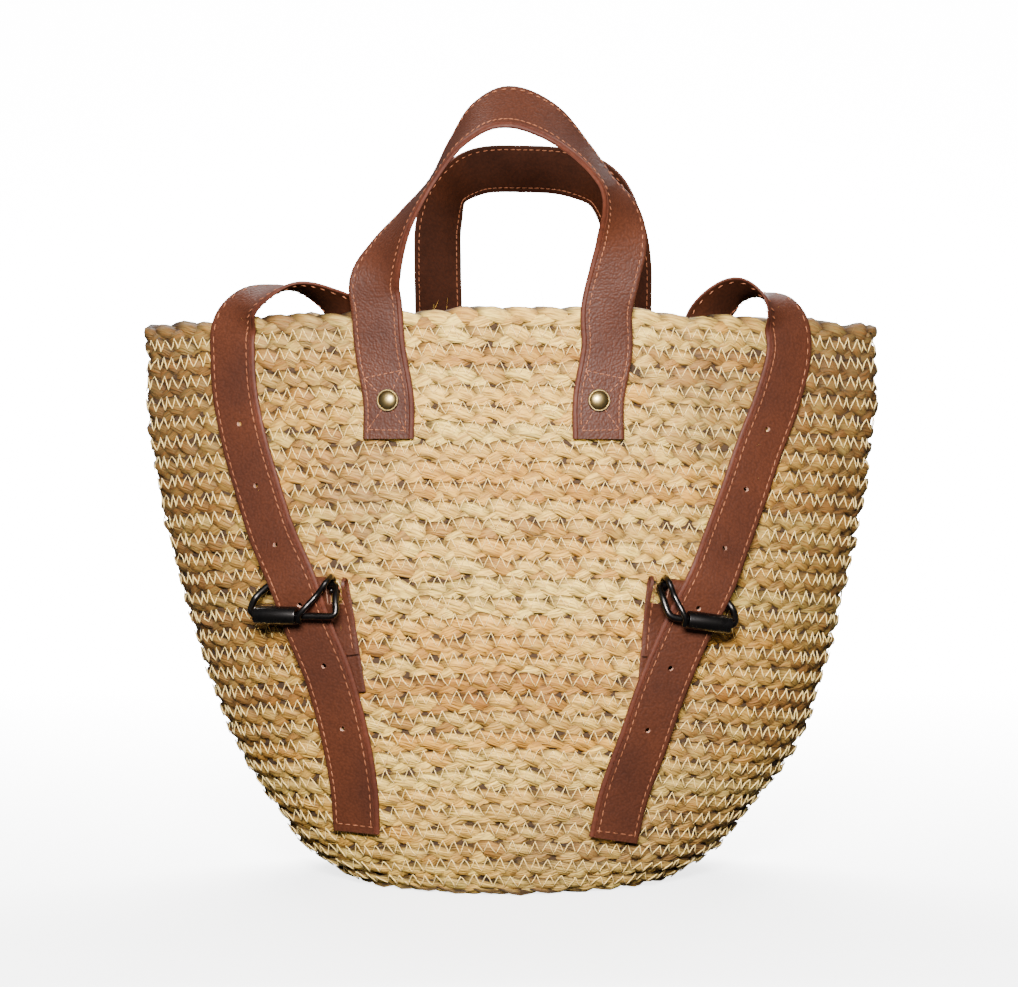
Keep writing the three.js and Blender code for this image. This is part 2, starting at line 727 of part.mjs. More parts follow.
for (const [name, strap, buckle] of [
  ["left", leftStrap, leftBuckle],
  ["right", rightStrap, rightBuckle],
]) {
  const route = shoulderRoute(strap);
  const band = strapGeometry(route, strapWidth, strapThick, strapSteps);
  addMesh(`shoulder_strap_${name}`, withCuts(band, punchCutters(route, strap.punchFromEnd)), leather);
  addMesh(`buckle_tab_${name}`, tabGeometry(buckle), leather);
  addMesh(`buckle_frame_${name}`, frameGeometry(buckle), gunmetal);
  addMesh(`buckle_roller_${name}`, rollerGeometry(buckle), gunmetal);
  addMesh(`buckle_prong_${name}`, prongGeometry(buckle), gunmetal);
}

export default group;
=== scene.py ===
import math

import bpy
import numpy as np
from mathutils import Matrix, Vector
from mathutils.bvhtree import BVHTree


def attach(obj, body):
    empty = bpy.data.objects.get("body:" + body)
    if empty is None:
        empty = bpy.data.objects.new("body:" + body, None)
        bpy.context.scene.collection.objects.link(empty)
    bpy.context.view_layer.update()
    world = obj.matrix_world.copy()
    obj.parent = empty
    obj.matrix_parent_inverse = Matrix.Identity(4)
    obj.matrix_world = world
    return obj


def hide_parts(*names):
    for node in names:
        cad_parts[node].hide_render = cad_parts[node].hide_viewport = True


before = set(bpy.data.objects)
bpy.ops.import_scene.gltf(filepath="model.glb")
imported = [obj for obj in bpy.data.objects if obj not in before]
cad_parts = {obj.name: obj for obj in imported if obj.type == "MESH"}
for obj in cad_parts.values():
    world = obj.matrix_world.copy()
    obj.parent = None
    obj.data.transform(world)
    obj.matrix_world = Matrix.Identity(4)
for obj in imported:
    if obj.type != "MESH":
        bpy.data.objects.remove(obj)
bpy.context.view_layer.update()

bpy.ops.object.select_all(action="DESELECT")
rng = np.random.default_rng(11)

# Woven straw backpack: plaited straw rows, leather handles and straps, rivets and buckles.
# Metres, +Z up, front towards -Y. The main sizes are the part's own.
bag = {
    "rimHeight": 0.310,
    "widestHalf": 0.201,
    "deepestHalf": 0.076,
    "wall": 0.0055,
    "cornerDroop": 0.009,
    "rimTall": 0.010,
    "rimThick": 0.008,
    "gap": 0.0004,
    "bearing": 0.0003,
}


def table(columns, *rows):  # a list of dictionaries with the same keys
    return [dict(zip(columns.split(), row)) for row in rows]


# Plan sections of the basket, as shares of its sizes.
basketSections = table(
    "up wide deep point lean",
    (0.0, 0.438, 0.765, 0.9, 0.0),
    (0.02, 0.485, 0.81, 0.9, 0.0),
    (0.055, 0.563, 0.868, 0.92, 0.0),
    (0.126, 0.652, 0.92, 0.95, 0.004),
    (0.232, 0.764, 0.967, 1.0, 0.014),
    (0.374, 0.846, 1.0, 1.1, 0.012),
    (0.516, 0.906, 1.0, 1.2, 0.004),
    (0.658, 0.956, 0.965, 1.33, 0.001),
    (0.8, 0.988, 0.915, 1.48, 0.0),
    (0.89, 1.0, 0.885, 1.58, 0.0),
    (1.0, 0.992, 0.855, 1.7, 0.0),
)


def unit(vectors):
    vectors = np.asarray(vectors, float)
    return vectors / np.maximum(np.linalg.norm(vectors, axis=-1, keepdims=True), 1e-12)


def squared(faces, along):  # faces turned square to a direction
    return unit(faces - along * np.sum(faces * along, axis=1, keepdims=True))


def closedPath(places):  # the direction along a closed row of places
    return unit(np.roll(places, -1, axis=0) - np.roll(places, 1, axis=0))


def ringQuads(rings, following):  # faces between each ring of points and the one that follows it
    corners = [rings, np.roll(rings, -1, axis=1), np.roll(following, -1, axis=1), following]
    return np.stack(corners, axis=-1).reshape(-1, 4)


def tubeRings(places, wide, thick, around, radius):
    wideAround, thickAround = np.cos(around)[None, :, None], np.sin(around)[None, :, None]
    return places[:, None] + (wide[:, None] * wideAround + thick[:, None] * thickAround) * radius


def readColumn(name, up):  # smooth value of one column at shares of the height
    ups = np.array([row["up"] for row in basketSections])
    column = np.array([row[name] for row in basketSections])
    slopes = np.empty_like(column)
    slopes[1:-1] = (column[2:] - column[:-2]) / (ups[2:] - ups[:-2])
    slopes[0] = (column[1] - column[0]) / (ups[1] - ups[0])
    slopes[-1] = (column[-1] - column[-2]) / (ups[-1] - ups[-2])
    place = np.clip(up, 0.0, 1.0)
    i = np.clip(np.searchsorted(ups, place, side="left") - 1, 0, len(ups) - 2)
    span = ups[i + 1] - ups[i]
    t = (place - ups[i]) / span
    bend = slopes[i] * span * t * (1 - t) ** 2 - slopes[i + 1] * span * t * t * (1 - t)
    return column[i] + (column[i + 1] - column[i]) * t * t * (3 - 2 * t) + bend


def basketPoint(angle, height, inset=0.0):
    up = np.asarray(height, float) / bag["rimHeight"]
    halfWidth = bag["widestHalf"] * readColumn("wide", up) - inset
    halfDepth = bag["deepestHalf"] * readColumn("deep", up) - inset
    shift = bag["widestHalf"] * readColumn("lean", up)
    sine = np.sin(angle)
    x = shift + halfWidth * np.cos(angle)
    y = halfDepth * np.sign(sine) * np.abs(sine) ** readColumn("point", up)
    z = height - bag["cornerDroop"] * up * up * np.cos(angle) ** 2
    return np.stack(np.broadcast_arrays(x, y, z), axis=-1)


def wallSpot(x, z, side, inset=0.0):  # place and outward face of the wall, front -1 or back 1
    up = z / bag["rimHeight"]
    halfWidth = bag["widestHalf"] * float(readColumn("wide", up)) - inset
    shift = bag["widestHalf"] * float(readColumn("lean", up))
    cosine = min(max((x - shift) / halfWidth, -1.0), 1.0)
    angle = side * math.acos(cosine)
    height = z + bag["cornerDroop"] * (up * cosine) ** 2
    around = basketPoint(angle + 0.02, height, inset) - basketPoint(angle - 0.02, height, inset)
    upwards = basketPoint(angle, height + 0.001, inset) - basketPoint(angle, height - 0.001, inset)
    return basketPoint(angle, height, inset), unit(np.cross(around, upwards))


def outsideSpot(x, z, side, lift):
    at, face = wallSpot(x, z, side)
    return at + face * lift, face


def insideSpot(x, z, side, lift):
    at, face = wallSpot(x, z, side, bag["wall"])
    return at - face * lift, -face


def catmull(points, t):  # centripetal Catmull-Rom through points, at shares t
    points = np.asarray(points, float)
    last = len(points) - 1
    place = np.clip(t, 0.0, 1.0) * last
    i = np.minimum(place.astype(int), last - 1)
    w = (place - i)[:, None]
    before = 2 * points[0] - points[1]
    after = 2 * points[last] - points[last - 1]
    longer = np.vstack([before, points, after])
    p0, p1, p2, p3 = (longer[i + k] for k in range(4))
    d0, d1, d2 = (np.sqrt(np.linalg.norm(b - a, axis=1))[:, None] for a, b in ((p0, p1), (p1, p2), (p2, p3)))
    d1 = np.where(d1 < 1e-5, 1.0, d1)  # for repeated points
    d0, d2 = np.where(d0 < 1e-5, d1, d0), np.where(d2 < 1e-5, d1, d2)
    t1 = ((p1 - p0) / d0 - (p2 - p0) / (d0 + d1) + (p2 - p1) / d1) * d1
    t2 = ((p2 - p1) / d1 - (p3 - p1) / (d1 + d2) + (p3 - p2) / d2) * d1
    return p1 + t1 * w + (3 * (p2 - p1) - 2 * t1 - t2) * w**2 + (2 * (p1 - p2) + t1 + t2) * w**3


class StrapRoute:  # smooth route of a strap through rows of places and faces
    def __init__(self, rows):
        self.places = np.array([row[0] for row in rows])
        self.faces = np.array([row[1] for row in rows])

    def read(self, t):
        t = np.atleast_1d(np.asarray(t, float))
        at = catmull(self.places, t)
        along = unit(catmull(self.places, t + 1e-4) - catmull(self.places, t - 1e-4))
        face = squared(catmull(self.faces, t), along)
        return at, along, face, np.cross(face, along)

    def walk(self):  # fine shares of the route, and how far it has gone at each
        fine = np.linspace(0, 1, 1600)
        steps = np.linalg.norm(np.diff(self.read(fine)[0], axis=0), axis=1)
        return fine, np.concatenate([[0], np.cumsum(steps)])

    def evenShares(self, step):  # shares of the route that lie a step apart, and its length
        fine, walked = self.walk()
        count = max(2, round(walked[-1] / step))
        return np.interp(np.linspace(0, walked[-1], count + 1), walked, fine), walked[-1]

    def shareAt(self, distance):
        fine, walked = self.walk()
        return np.interp(distance, walked, fine)


def meshPiece(name, points, faces, uv=None, tone=None, slots=(), slotOf=None):
    mesh = bpy.data.meshes.new(name)
    mesh.from_pydata(np.asarray(points).tolist(), [], faces)
    if uv is not None:
        layer = mesh.uv_layers.new(name="strand")
        layer.data.foreach_set("uv", np.ravel(uv))
    if tone is not None:
        layer = mesh.color_attributes.new(name="tone", type="FLOAT_COLOR", domain="POINT")
        layer.data.foreach_set("color", np.asarray(tone).ravel())
    for material in slots:
        mesh.materials.append(material)
    if slotOf is not None:
        mesh.polygons.foreach_set("material_index", np.asarray(slotOf, int))
    mesh.polygons.foreach_set("use_smooth", np.ones(len(mesh.polygons), bool))
    mesh.update()
    piece = bpy.data.objects.new(name, mesh)
    bpy.context.scene.collection.objects.link(piece)
    return piece


def chosen(piece):  # makes a piece the only selected and active one
    bpy.ops.object.select_all(action="DESELECT")
    piece.select_set(True)
    bpy.context.view_layer.objects.active = piece
    return piece


def applied(piece, kind, **settings):  # adds a modifier and applies it
    chosen(piece)
    modifier = piece.modifiers.new(kind.title(), kind)
    for name, value in settings.items():
        setattr(modifier, name, value)
    bpy.ops.object.modifier_apply(modifier=modifier.name)
    return piece


def settled(piece):  # moves a piece's place into its mesh
    chosen(piece)
    bpy.ops.object.transform_apply(location=True, rotation=True, scale=True)
    return piece


def joined(pieces, name):
    chosen(pieces[0])
    for piece in pieces[1:]:
        piece.select_set(True)
    bpy.ops.object.join()
    pieces[0].name = name
    return pieces[0]


def edited(piece, *steps):  # runs mesh tools, each on the whole of a piece
    chosen(piece)
    bpy.ops.object.mode_set(mode="EDIT")
    for tool, settings in steps:
        bpy.ops.mesh.select_all(action="SELECT")
        tool(**settings)
    bpy.ops.object.mode_set(mode="OBJECT")
    return piece


def painted(piece, material):
    piece.data.materials.clear()
    piece.data.materials.append(material)
    return piece


def smoothBy(piece, degrees):  # smooth, but for edges that turn by more
    chosen(piece)
    bpy.ops.object.shade_smooth_by_angle(angle=math.radians(degrees))
    return piece


def stoodAt(piece, at, way):  # turns a mesh made along Z to a direction and moves it to its place
    turn = Vector((0, 0, 1)).rotation_difference(Vector(way)).to_matrix().to_4x4()
    piece.data.transform(Matrix.Translation(Vector(at)) @ turn)
    return piece


def ridden(piece, slotName, *nodes):  # rides on the body and stands for its nodes
    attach(piece, "root")
    if nodes:
        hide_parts(*nodes)
    return piece


# Shader helpers
def addNode(tree, kind, values=None, **settings):
    node = tree.nodes.new(kind)
    for name, value in settings.items():
        setattr(node, name, value)
    for socket, value in (values or {}).items():
        if isinstance(value, bpy.types.NodeSocket):
            tree.links.new(value, node.inputs[socket])
        else:
            node.inputs[socket].default_value = value
    return node


def mixed(tree, factor, first, second, blend="MIX"):
    node = addNode(tree, "ShaderNodeMix", data_type="RGBA", blend_type=blend)
    for index, value in ((0, factor), (6, first), (7, second)):
        if isinstance(value, bpy.types.NodeSocket):
            tree.links.new(value, node.inputs[index])
        else:
            node.inputs[index].default_value = value
    return node.outputs[2]


def spread(tree, value, low, high, newLow=0.0, newHigh=1.0):
    node = addNode(tree, "ShaderNodeMapRange", {0: value, 1: low, 2: high, 3: newLow, 4: newHigh})
    return node.outputs[0]


def sums(tree, operation, first, second):
    return addNode(tree, "ShaderNodeMath", {0: first, 1: second}, operation=operation).outputs[0]


def noiseOf(tree, place, scale, detail):
    return addNode(tree, "ShaderNodeTexNoise", {"Vector": place, "Scale": scale, "Detail": detail}).outputs[0]


def objectPlace(tree):
    return addNode(tree, "ShaderNodeTexCoord").outputs["Object"]


def linear(red, green, blue):  # a colour as seen on screen, made linear
    def one(c):
        c /= 255
        return c / 12.92 if c <= 0.04045 else ((c + 0.055) / 1.055) ** 2.4
    return (one(red), one(green), one(blue), 1.0)


def effect(name, inputs, outputs):  # a node group with named sockets
    group = bpy.data.node_groups.new(name, "ShaderNodeTree")
    for label, kind, value in inputs:
        socket = group.interface.new_socket(label, in_out="INPUT", socket_type=kind)
        if value is not None:
            socket.default_value = value
    for label, kind in outputs:
        group.interface.new_socket(label, in_out="OUTPUT", socket_type=kind)
    return group, group.nodes.new("NodeGroupInput"), group.nodes.new("NodeGroupOutput")


def makeFibreEffect():  # fine lines along a strand, from its own UV map
    group, start, end = effect(
        "strandFibres",
        [("Across", "NodeSocketFloat", 26.0), ("Along", "NodeSocketFloat", 130.0)],
        [("Lines", "NodeSocketFloat"), ("Splits", "NodeSocketFloat")],
    )
    uv = addNode(group, "ShaderNodeUVMap", uv_map="strand")
    apart = addNode(group, "ShaderNodeSeparateXYZ", {0: uv.outputs[0]})
    across = sums(group, "MULTIPLY", apart.outputs[0], start.outputs["Across"])
    along = sums(group, "MULTIPLY", apart.outputs[1], start.outputs["Along"])
    place = addNode(group, "ShaderNodeCombineXYZ", {0: across, 1: along}).outputs[0]
    group.links.new(noiseOf(group, place, 1.0, 3.0), end.inputs["Lines"])
    group.links.new(noiseOf(group, place, 0.35, 2.0), end.inputs["Splits"])
    return group


def makeGrainEffect():  # pebbled leather grain
    group, start, end = effect(
        "leatherGrain",
        [("Pebbles", "NodeSocketFloat", 900.0)],
        [("Height", "NodeSocketFloat"), ("Patches", "NodeSocketFloat")],
    )
    place = objectPlace(group)
    warp = addNode(group, "ShaderNodeTexNoise", {"Vector": place, "Scale": 300.0, "Detail": 2.0})
    bent = mixed(group, 0.0012, place, warp.outputs[1], "ADD")
    cells = addNode(group, "ShaderNodeTexVoronoi", {"Vector": bent, "Scale": start.outputs["Pebbles"]})
    cells.feature = "SMOOTH_F1"
    pebbles = spread(group, cells.outputs["Distance"], 0.0, 0.75, 1.0, 0.0)
    creases = sums(group, "MULTIPLY", noiseOf(group, place, 240.0, 5.0), 0.35)
    group.links.new(sums(group, "ADD", pebbles, creases), end.inputs["Height"])
    group.links.new(noiseOf(group, place, 28.0, 4.0), end.inputs["Patches"])
    return group


fibreEffect = makeFibreEffect()
grainEffect = makeGrainEffect()


def startMaterial(name, **uniform):
    material = bpy.data.materials.new(name)
    material.use_nodes = True
    tree = material.node_tree
    shader = tree.nodes["Principled BSDF"]
    for socket, value in uniform.items():
        shader.inputs[socket.replace("_", " ")].default_value = value
    return material, tree, shader


def finishLook(tree, shader, color, height, strength, distance):  # sets the colour and the bump
    tree.links.new(color, shader.inputs["Base Color"])
    bump = addNode(tree, "ShaderNodeBump", {"Height": height, "Strength": strength, "Distance": distance})
    tree.links.new(bump.outputs[0], shader.inputs["Normal"])


strawLook = {
    "pale": linear(255, 215, 106),
    "gold": linear(226, 163, 62),
    "brown": linear(146, 90, 34),
    "grey": linear(176, 152, 96),
    # painted shade, used towards the bag's ends
    "shade": linear(100, 77, 44),
    "dark": linear(38, 22, 8),
}


def makeStraw():
    material, tree, shader = startMaterial("plaitedStraw", Roughness=0.6, Specular_IOR_Level=0.35)
    tone = addNode(tree, "ShaderNodeVertexColor", layer_name="tone")
    apart = addNode(tree, "ShaderNodeSeparateColor", {0: tone.outputs[0]})
    place = objectPlace(tree)
    fibres = addNode(tree, "ShaderNodeGroup", {}, node_tree=fibreEffect)
    patches = noiseOf(tree, place, 16.0, 3.0)
    greys = noiseOf(tree, place, 9.0, 4.0)
    strandGold, patchGold = sums(tree, "MULTIPLY", apart.outputs[0], 0.55), sums(tree, "MULTIPLY", patches, 0.6)
    golden = sums(tree, "ADD", strandGold, patchGold)
    color = mixed(tree, spread(tree, golden, 0.35, 0.85), strawLook["pale"], strawLook["gold"])
    # Painted shade: darker towards the bag's ends, with random cloudy tone added to it.
    aside = sums(tree, "ABSOLUTE", addNode(tree, "ShaderNodeSeparateXYZ", {0: place}).outputs[0], 0.0)
    cloudy = spread(tree, greys, 0.45, 0.65, -0.12, 0.12)
    shade = sums(tree, "ADD", spread(tree, aside, 0.06, 0.18, 0.0, 0.85), cloudy)
    layers = table(
        "value low high newLow newHigh tint",
        (apart.outputs[1], 0.66, 1.05, 0.0, 0.8, "brown"),
        (greys, 0.5, 0.72, 0.0, 0.6, "grey"),
        (shade, 0.0, 1.0, 0.0, 1.0, "shade"),
        (fibres.outputs["Lines"], 0.42, 0.62, 0.0, 0.62, "brown"),
        (fibres.outputs["Splits"], 0.56, 0.7, 0.0, 0.6, "dark"),
        # painted shade: darker where the tone's third channel is low
        (apart.outputs[2], 0.06, 0.74, 0.97, 0.0, "dark"),
    )
    for layer in layers:
        tint = strawLook[layer.pop("tint")]
        color = mixed(tree, spread(tree, **layer), color, tint)
    height = sums(tree, "ADD", fibres.outputs["Lines"], sums(tree, "MULTIPLY", fibres.outputs["Splits"], 0.7))
    finishLook(tree, shader, color, height, 1.0, 0.0015)
    return material


def makeCoreStraw():
    # Painted shade: a near-black straw, seen only through the gaps in the plait.
    material, tree, shader = startMaterial("shadedStraw", Roughness=0.9)
    place = objectPlace(tree)
    noise = noiseOf(tree, place, 220.0, 4.0)
    color = mixed(tree, noise, strawLook["dark"], linear(74, 50, 24))
    finishLook(tree, shader, color, noise, 0.6, 0.001)
    return material


def makeThread():
    material, tree, shader = startMaterial("paleThread", Roughness=0.7, Sheen_Weight=0.15)
    place = objectPlace(tree)
    noise = noiseOf(tree, place, 40.0, 3.0)
    color = mixed(tree, noise, linear(255, 224, 138), linear(240, 196, 110))
    finishLook(tree, shader, color, noiseOf(tree, place, 2600.0, 2.0), 0.5, 0.0002)
    return material


def makeLeather(name, light, dark, roughness, grain, strength, shine=0.16):
    material, tree, shader = startMaterial(name, Specular_IOR_Level=shine)
    effectNode = addNode(tree, "ShaderNodeGroup", {}, node_tree=grainEffect)
    effectNode.inputs["Pebbles"].default_value = grain
    height, patches = effectNode.outputs["Height"], effectNode.outputs["Patches"]
    color = mixed(tree, spread(tree, patches, 0.3, 0.7), linear(*light), linear(*dark))
    # Painted shade in the hollows of the grain.
    hollow = spread(tree, height, 0.3, 0.95, 0.35, 0.0)
    color = mixed(tree, hollow, color, linear(*[c * 0.55 for c in dark]))
    uneven = spread(tree, patches, 0.3, 0.7, roughness - 0.06, roughness + 0.08)
    tree.links.new(uneven, shader.inputs["Roughness"])
    finishLook(tree, shader, color, height, strength, 0.0006)
    return material


def makeMetal(name, light, dark, roughness, scale):
    material, tree, shader = startMaterial(name, Metallic=1.0)
    place = objectPlace(tree)
    noise = noiseOf(tree, place, scale, 5.0)
    color = mixed(tree, spread(tree, noise, 0.35, 0.65), linear(*light), linear(*dark))
    uneven = spread(tree, noise, 0.3, 0.7, roughness - 0.08, roughness + 0.12)
    tree.links.new(uneven, shader.inputs["Roughness"])
    finishLook(tree, shader, color, noiseOf(tree, place, scale * 6, 3.0), 0.15, 0.0001)
    return material


straw = makeStraw()
coreStraw = makeCoreStraw()
thread = makeThread()
leatherFace = makeLeather("leatherFace", (82, 43, 27), (64, 32, 20), 0.5, 920.0, 0.34)
tabLeather = leatherFace.copy()
tabLeather.name = "tabLeather"
# Back faces of the bands: darker leather, drawn darker still as painted shade.
leatherBack = makeLeather("leatherBack", (58, 27, 13), (38, 17, 8), 0.75, 700.0, 0.3, 0.06)
leatherEdge = makeLeather("leatherEdge", (92, 47, 31), (72, 35, 23), 0.55, 500.0, 0.2)
rawLeather = makeLeather("rawLeather", (206, 160, 136), (170, 120, 98), 0.8, 900.0, 0.3)
stitchThread = makeLeather("stitchThread", (172, 108, 76), (134, 78, 50), 0.6, 1600.0, 0.3)
brassAged = makeMetal("brassAged", (176, 152, 100), (108, 88, 56), 0.34, 260.0)
gunmetalDark = makeMetal("gunmetalDark", (74, 70, 68), (40, 38, 38), 0.3, 180.0)
print("materials ready")

# Basket rows
plaitLook = {
    "rows": 30,
    "cuts": (11, 21),    # rows at which the next of the three pieces starts
    "samples": 560,      # around the basket
    "lobe": 0.0146,      # length of one lobe, a third of a strand's full wave
    "swing": 0.33,       # how far a strand swings across the row, as a share of the row
    "halfWide": 0.4,     # half the width of a strand, as a share of the row
    "halfThick": 0.0017,
    "dive": 0.00135,     # how far a strand goes over and under
    "tilt": 0.31,        # how far a row leans out towards its top
    "corners": 8,
    "steps": 12,         # for each full wave
    "baseRows": 6,
    "baseSunk": 0.0003,
    "baseRaised": 0.0019,
    "coreThick": 0.0012,
    "wobble": 0.0007,    # random changes, from here to strandBrown
    "drift": 0.42,
    "lobeNoise": 0.07,
    "swingNoise": 0.1,
    "diveNoise": 0.00022,
    "wideNoise": 0.17,
    "thickNoise": 0.14,
    "lump": 0.05,
    "toneNoise": 0.18,
    "strandTone": 0.14,
    "strandBrown": 0.12,
    "sideShadeFrom": 0.07,    # painted shade: the straw is drawn darker towards the bag's ends, where less light falls
    "sideShadeOver": 0.11,
}


def ringSmooth(values, reach):  # soft average round a closed row
    weights = np.hanning(2 * reach + 3)[1:-1]
    weights /= weights.sum()
    padded = np.concatenate([values[-reach:], values, values[:reach]])
    return np.stack([np.convolve(padded[:, k], weights, "valid") for k in range(values.shape[1])], axis=1)


def meridianGrid():  # heights at even shares of each meridian's own length
    angles = np.linspace(0, 2 * np.pi, plaitLook["samples"], endpoint=False) - np.pi / 2
    top = bag["rimHeight"] - bag["rimTall"]
    heights = np.linspace(0, top, 160)
    points = basketPoint(angles[:, None], heights[None, :])
    steps = np.linalg.norm(np.diff(points, axis=1), axis=2)
    walked = np.concatenate([np.zeros((len(angles), 1)), np.cumsum(steps, axis=1)], axis=1)
    return angles, heights, walked


meridianAngles, meridianHeights, meridianWalked = meridianGrid()


def rowCurve(share):  # a row's middle line on the outside of the wall, and its local height
    heights = np.array([np.interp(share * w[-1], w, meridianHeights) for w in meridianWalked])
    pitch = meridianWalked[:, -1] / plaitLook["rows"]
    centre = basketPoint(meridianAngles, heights)
    above = basketPoint(meridianAngles, heights + 0.0015)
    below = basketPoint(meridianAngles, heights - 0.0015)
    return centre, unit(above - below), pitch


def framedRow(centre, upward, pitch, inwards, reach=5):
    centre = ringSmooth(centre, reach)
    along = closedPath(centre)
    outward = unit(ringSmooth(unit(np.cross(along, upward)), reach))
    upward = unit(np.cross(outward, along))
    centre = centre - outward * inwards
    lengths = np.linalg.norm(np.roll(centre, -1, axis=0) - centre, axis=1)
    walked = np.concatenate([[0], np.cumsum(lengths)])
    return {"centre": centre, "along": along, "up": upward, "out": outward, "pitch": pitch, "walked": walked}


def readRow(row, s):  # frame of a row at distances along it
    total = row["walked"][-1]
    s = np.mod(s, total)

    def column(values):
        closed = np.concatenate([values, values[:1]])
        if closed.ndim == 1:
            return np.interp(s, row["walked"], closed)
        return np.stack([np.interp(s, row["walked"], closed[:, k]) for k in range(3)], axis=1)
    along, up, out = (unit(column(row[name])) for name in ("along", "up", "out"))
    return column(row["centre"]), along, up, out, column(row["pitch"])


def softNoise(count, knots, size):  # slow random change round a closed row
    values = rng.normal(0, size, knots)
    place = np.arange(count) * knots / count
    i = place.astype(int)
    w = place - i
    w = w * w * (3 - 2 * w)
    return values[i % knots] * (1 - w) + values[(i + 1) % knots] * w


class Bundle:  # gathers many small shapes into one mesh
    def __init__(self):
        self.points, self.faces, self.uvs, self.tones, self.ends, self.count = [], [], [], [], [], 0

    def addRing(self, rings, uv, tone, closed=True):
        around, corners = rings.shape[:2]
        index = self.count + np.arange(around * corners).reshape(around, corners)
        nextRing = np.roll(index, -1, axis=0) if closed else index[1:]
        first = index if closed else index[:-1]
        self.faces.append(ringQuads(first, nextRing))
        self.points.append(rings.reshape(-1, 3))
        ahead = np.vstack([uv[1:], 2 * uv[-1:] - uv[-2:-1]]) if closed else uv[1:]
        here = uv if closed else uv[:-1]
        ahead[..., 0] = here[..., 0]
        loops = np.stack([here, np.roll(here, -1, axis=1), np.roll(ahead, -1, axis=1), ahead], axis=2)
        self.uvs.append(loops.reshape(-1, 2))
        self.tones.append(tone.reshape(-1, 4))
        self.count += around * corners
        return index

    def piece(self, name, material):
        points, faces = np.concatenate(self.points), np.concatenate(self.faces).tolist() + self.ends
        uv = np.vstack([*self.uvs, np.zeros((sum(len(end) for end in self.ends), 2))])
        tone = np.concatenate(self.tones)
        return meshPiece(name, points, faces, uv, tone, [material])


def addPlait(bundle, row, look, rowTone, rowBrown):
    total = row["walked"][-1]
    waves = round(total / (3 * look["lobe"] * rng.uniform(1 - look["lobeNoise"], 1 + look["lobeNoise"])))
    count = waves * look["steps"]
    s = np.arange(count) * total / count
    centre, _, up, out, pitch = readRow(row, s)
    start = rng.uniform(0, 2 * np.pi)
    wobble = softNoise(count, max(8, waves * 2), look["wobble"])
    phaseDrift = softNoise(count, max(6, waves), look["drift"])
    for strand in range(3):
        turn = 2 * np.pi * s * waves / total + 2 * np.pi * strand / 3 + start + phaseDrift
        swing = look["swing"] * pitch * (1 + softNoise(count, waves * 3, look["swingNoise"]))
        v = swing * np.sin(turn) + wobble
        h = -look["dive"] * np.sin(2 * turn) + softNoise(count, waves * 4, look["diveNoise"])
        place = centre + up * v[:, None] + out * (h + look["tilt"] * v)[:, None]
        path = closedPath(place)
        thick = squared(out, path)
        wide = np.cross(thick, path)
        fat = 1 + softNoise(count, waves * 4, look["wideNoise"]) + 0.10 * np.maximum(0, -np.sin(2 * turn))
        halfWide = look["halfWide"] * pitch * fat
        halfThick = look["halfThick"] * (1 + softNoise(count, waves * 4, look["thickNoise"]))
        around = 2 * np.pi * np.arange(look["corners"]) / look["corners"]
        lump = 1 + rng.normal(0, look["lump"], (count, look["corners"]))
        rings = place[:, None] + wide[:, None] * (halfWide[:, None] * np.cos(around) * lump)[..., None]
        rings = rings + thick[:, None] * (halfThick[:, None] * np.sin(around) * lump)[..., None]
        rings = rings + out[:, None] * (look["tilt"] * 0.7 * halfWide[:, None] * np.cos(around))[..., None]
        acrossStrand = np.abs(np.arange(look["corners"]) - look["corners"] / 2) / look["corners"] + strand
        alongStrand = s + 0.37 * strand
        uv = np.stack(np.broadcast_arrays(acrossStrand[None, :], alongStrand[:, None]), axis=-1)
        # Painted shade towards the bag's ends, darker and browner.
        sideShade = np.clip((np.abs(place[:, 0]) - look["sideShadeFrom"]) / look["sideShadeOver"], 0, 1)
        strandTone = rowTone + rng.normal(0, look["strandTone"])
        strandTone = strandTone + softNoise(count, waves * 2, look["toneNoise"])
        strandBrown = rowBrown + rng.normal(0, look["strandBrown"])
        strandBrown = strandBrown + softNoise(count, max(4, waves // 2), look["toneNoise"]) + 0.2 * sideShade
        facing = np.sin(around)[None, :]
        high = 0.5 + 0.5 * h[:, None] / look["dive"] * np.sign(facing)
        lower = np.clip(-v / (0.6 * pitch), 0, 1)[:, None]
        # Painted shade: darker where the strand dives, on its sides, low in the row and towards the bag's ends.
        light = (0.1 + 0.95 * high) * (0.15 + 0.85 * np.abs(facing)) * (1 - 0.4 * lower)
        light = np.clip(light * (1 - 0.3 * sideShade[:, None]), 0, 1)
        # The tone's third channel carries the painted shade.
        tone = np.stack(np.broadcast_arrays(strandTone[:, None], strandBrown[:, None], light, 1.0), axis=-1)
        bundle.addRing(rings, uv, np.ascontiguousarray(tone))


def makeRows():
    count, (second, third) = plaitLook["rows"], plaitLook["cuts"]
    rows = [framedRow(*rowCurve((i + 0.5) / count), bag["wall"] / 2) for i in range(count)]
    bands = [rows[:second], rows[second:third], rows[third:]]
    pieces = []
    for k, band in enumerate(bands):
        bundle = Bundle()
        for row in band:
            addPlait(bundle, row, plaitLook, rng.uniform(0.1, 0.85), rng.uniform(0.35, 0.9))
        pieces.append(bundle.piece(f"plaitRows{k + 1}", straw))
    return rows, pieces


